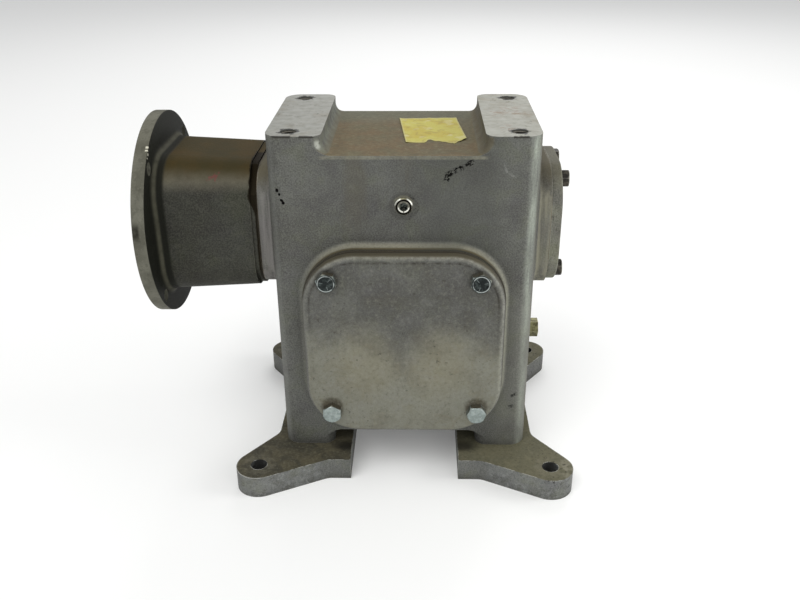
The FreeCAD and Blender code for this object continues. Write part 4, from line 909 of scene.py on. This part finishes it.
class REDUCER_OT_fasteners(bpy.types.Operator):
    """Finish of the bolts, screws and plugs"""

    bl_idname = "reducer.fasteners"
    bl_label = "Bolts and plugs"

    def execute(self, context):
        dress(cover_bolt_material(), "cover_bolts")
        dress(cap_bolt_material(), "end_cap_bolts")
        black = plain_metal("black_steel", colours().black_oxide, linear(24, 24, 26), 0.45, 0.7)
        dress(black, "adapter_bolts", "foot_screws")
        dress(fill_plug_material(), "fill_plug")
        dress(level_plug_material(), "level_plug")
        return {"FINISHED"}


class REDUCER_OT_drive(bpy.types.Operator):
    """Finish of the worm, the wheel and the shafts"""

    bl_idname = "reducer.drive"
    bl_label = "Worm, wheel and shafts"

    def execute(self, context):
        colour = colours()
        ground = plain_metal("shaft_steel", colour.steel, linear(128, 126, 122), 0.28, 0.95,
                             (0.08, 1.0, 0.08))
        dress(ground, "output_shaft", "wheel_spacer", "wheel_key")
        worm = plain_metal("worm_steel", colour.steel, linear(118, 114, 106), 0.22, 0.95,
                           (1.0, 0.08, 0.08))
        dress(worm, "worm_shaft")
        dress(plain_metal("bronze", colour.bronze, linear(138, 96, 48), 0.32, 0.9,
                          (1.0, 0.1, 1.0)), "wheel_rim")
        dress(plain_metal("hub_iron", linear(86, 86, 86), linear(52, 50, 48), 0.6, 0.6),
              "wheel_hub")
        return {"FINISHED"}


class REDUCER_OT_bearings(bpy.types.Operator):
    """Finish of the bearings, the seals and the gaskets"""

    bl_idname = "reducer.bearings"
    bl_label = "Bearings, seals and gaskets"

    def execute(self, context):
        rings = plain_metal("bearing_steel", linear(196, 197, 200), linear(150, 148, 142), 0.18,
                            0.95, (0.3, 0.3, 0.3))
        names = [n for n in NODES if n.endswith(("_cup", "_cone", "_rollers"))]
        dress(rings, *names)
        cages = plain_metal("cage_steel", linear(150, 150, 148), linear(104, 102, 96), 0.34, 0.9)
        dress(cages, *(n for n in NODES if n.endswith("_cage")))
        dress(rubber_material(), "input_seal", "output_seal")
        dress(fibre_material(), "cover_gasket", "end_cap_gasket", "adapter_gasket")
        return {"FINISHED"}


class REDUCER_OT_pad_threads(bpy.types.Operator):
    """Thread in the four tapped holes of the top pads"""

    bl_idname = "reducer.pad_threads"
    bl_label = "Pad threads"

    def execute(self, context):
        size = sizes()
        material = plain_metal("tapped_thread", linear(120, 116, 106), linear(50, 46, 38), 0.5,
                               0.7)
        wall = PAD_HOLE_R - 0.00002
        crest = PAD_HOLE_R - 0.0008
        turns = size.thread_depth / size.thread_pitch
        steps = int(turns * 28)
        a = np.linspace(0.0, 2 * math.pi * turns, steps + 1)[:, None]
        drop = size.thread_pitch * a / (2 * math.pi)
        half = size.thread_pitch * 0.44
        rise = np.array([[-half, -half * 0.15, half * 0.15, half]])
        radius = np.array([[wall, crest, crest, wall]])
        fade = np.clip(np.minimum(a, a[-1] - a) / 2.0, 0.02, 1.0)
        reach = wall - (wall - radius) * fade
        for number, (sx, sy) in enumerate(((-1, -1), (-1, 1), (1, -1), (1, 1)), 1):
            x = sx * PAD_HOLE_X + reach * np.cos(a)
            y = sy * PAD_HOLE_Y + reach * np.sin(a)
            z = BODY_TOP - 0.0014 - drop + rise * fade
            points = np.stack(np.broadcast_arrays(x, y, z), axis=-1)
            faces = grid_faces(steps + 1, 4, closed=True)
            faces += [[3, 2, 1, 0], [steps * 4 + i for i in range(4)]]
            mesh_piece("pad_thread_%d" % number, points, faces, material, "gearcase")
        return {"FINISHED"}


class REDUCER_OT_label(bpy.types.Operator):
    """Blank yellow label on the floor of the top channel, with a torn front edge"""

    bl_idname = "reducer.label"
    bl_label = "Label"

    def execute(self, context):
        size = sizes()
        across = 49
        along = 33
        u = np.linspace(0.0, 1.0, across)[:, None]
        v = np.linspace(0.0, 1.0, along)[None, :]
        places = np.array([0.0, 0.30, 0.335, 0.38, 0.46, 0.55, 0.78, 0.84, 1.0])
        torn = np.array([0.0, 0.0, 0.028, 0.125, 0.078, 0.055, -0.02, 0.03, 0.135])
        ragged = 0.006 * np.sin(u * 61.0) + 0.004 * np.sin(u * 143.0 + 1.0)
        cut = (np.interp(u, places, torn) + ragged * (u > 0.3)) * (1.0 - v) ** 3
        front_x, front_y = (start + run * u for start, run in LABEL_FRONT)
        back_x, back_y = (start + run * u for start, run in LABEL_BACK)
        w = v + cut
        x = front_x + (back_x - front_x) * w
        y = front_y + (back_y - front_y) * w
        curl = size.paper_lift * (np.clip((u - 0.72) / 0.28, 0, 1) ** 2 * (1 - v) ** 2
                                  + 0.4 * np.clip((0.12 - u) / 0.12, 0, 1) ** 2)
        crease = 0.00022 * np.exp(-((u - 0.42 - 0.1 * v) / 0.02) ** 2)
        ripple = 0.00006 * (1 + np.sin(u * 23.0 + v * 9.0)) * np.ones_like(w)
        z = TOP_FLOOR + 0.00002 + curl + crease + ripple
        points = np.stack(np.broadcast_arrays(x, y, z), axis=-1)
        faces = grid_faces(across, along)
        label = mesh_piece("blank_label", points, faces, paper_material(), "gearcase")
        wall = label.modifiers.new("thickness", "SOLIDIFY")
        wall.thickness = size.paper_thickness
        wall.offset = 1.0
        return {"FINISHED"}


class REDUCER_OT_stage(bpy.types.Operator):
    """Pale floor, soft studio lights and the camera"""

    bl_idname = "reducer.stage"
    bl_label = "Studio"

    def execute(self, context):
        scene = context.scene
        half = FLOOR_HALF
        mesh = bpy.data.meshes.new("studio_floor")
        corners = [(-half, -half, 0), (half, -half, 0), (half, half, 0), (-half, half, 0)]
        mesh.from_pydata(corners, [], [(0, 1, 2, 3)])
        floor = bpy.data.objects.new("studio_floor", mesh)
        scene.collection.objects.link(floor)
        paint = Paint("studio_floor")
        mesh.materials.append(paint.finish(linear(238, 238, 236), 0.8, 0.0))
        shader = mesh.materials[0].node_tree.nodes["Principled BSDF"]
        shader.inputs["Emission Color"].default_value = (1.0, 1.0, 1.0, 1.0)
        shader.inputs["Emission Strength"].default_value = FLOOR_GLOW
        for name, place, width, power in LAMPS:
            data = bpy.data.lights.new(name, "AREA")
            data.shape = "SQUARE"
            data.size = width
            data.energy = power
            lamp = bpy.data.objects.new(name, data)
            lamp.location = place
            aim = Vector(LAMP_AIM) - Vector(place)
            lamp.rotation_euler = aim.to_track_quat("-Z", "Y").to_euler()
            scene.collection.objects.link(lamp)
        world = bpy.data.worlds.new("studio_air")
        world.use_nodes = True
        air = world.node_tree.nodes["Background"].inputs
        air["Color"].default_value = (0.97, 0.98, 1.0, 1.0)
        air["Strength"].default_value = AIR_STRENGTH
        scene.world = world
        scene.view_settings.view_transform = "Standard"
        yaw, pitch, roll = (math.radians(angle) for angle in CAMERA_ANGLES)
        forward = Vector((math.sin(yaw) * math.cos(pitch), math.cos(yaw) * math.cos(pitch),
                          -math.sin(pitch)))
        right = Vector((math.cos(yaw), -math.sin(yaw), 0.0))
        upward = right.cross(forward)
        right, upward = (right * math.cos(roll) + upward * math.sin(roll),
                         upward * math.cos(roll) - right * math.sin(roll))
        lens = bpy.data.cameras.new("photo_camera")
        lens.sensor_width = SENSOR_WIDTH
        lens.lens = FOCAL_PIXELS / PHOTO_WIDTH * SENSOR_WIDTH
        lens.clip_start = 0.01
        camera = bpy.data.objects.new("photo_camera", lens)
        turn = Matrix((right, upward, -forward)).transposed().to_4x4()
        camera.matrix_world = Matrix.Translation(CAMERA_PLACE) @ turn
        scene.collection.objects.link(camera)
        scene.camera = camera
        return {"FINISHED"}


STEPS = (REDUCER_OT_housing, REDUCER_OT_covers, REDUCER_OT_fasteners, REDUCER_OT_drive,
         REDUCER_OT_bearings, REDUCER_OT_pad_threads, REDUCER_OT_label, REDUCER_OT_stage)


class REDUCER_PT_panel(bpy.types.Panel):
    """Pieces of the worm gear reducer"""

    bl_idname = "REDUCER_PT_panel"
    bl_label = "Worm gear reducer"
    bl_space_type = "VIEW_3D"
    bl_region_type = "UI"
    bl_category = "Reducer"

    def draw(self, context):
        for step in STEPS:
            self.layout.operator(step.bl_idname)
        for group in (context.scene.reducer_sizes, context.scene.reducer_colours):
            for name in group.bl_rna.properties.keys():
                if name not in ("rna_type", "name"):
                    self.layout.prop(group, name)


CLASSES = (ReducerSizes, ReducerColours, *STEPS, REDUCER_PT_panel)


def register():
    for cls in CLASSES:
        bpy.utils.register_class(cls)
    bpy.types.Scene.reducer_sizes = PointerProperty(type=ReducerSizes)
    bpy.types.Scene.reducer_colours = PointerProperty(type=ReducerColours)


def unregister():
    del bpy.types.Scene.reducer_colours
    del bpy.types.Scene.reducer_sizes
    for cls in reversed(CLASSES):
        bpy.utils.unregister_class(cls)


def main():
    register()
    for step in STEPS:
        group, name = step.bl_idname.split(".")
        getattr(getattr(bpy.ops, group), name)()


if __name__ == "__main__":
    main()
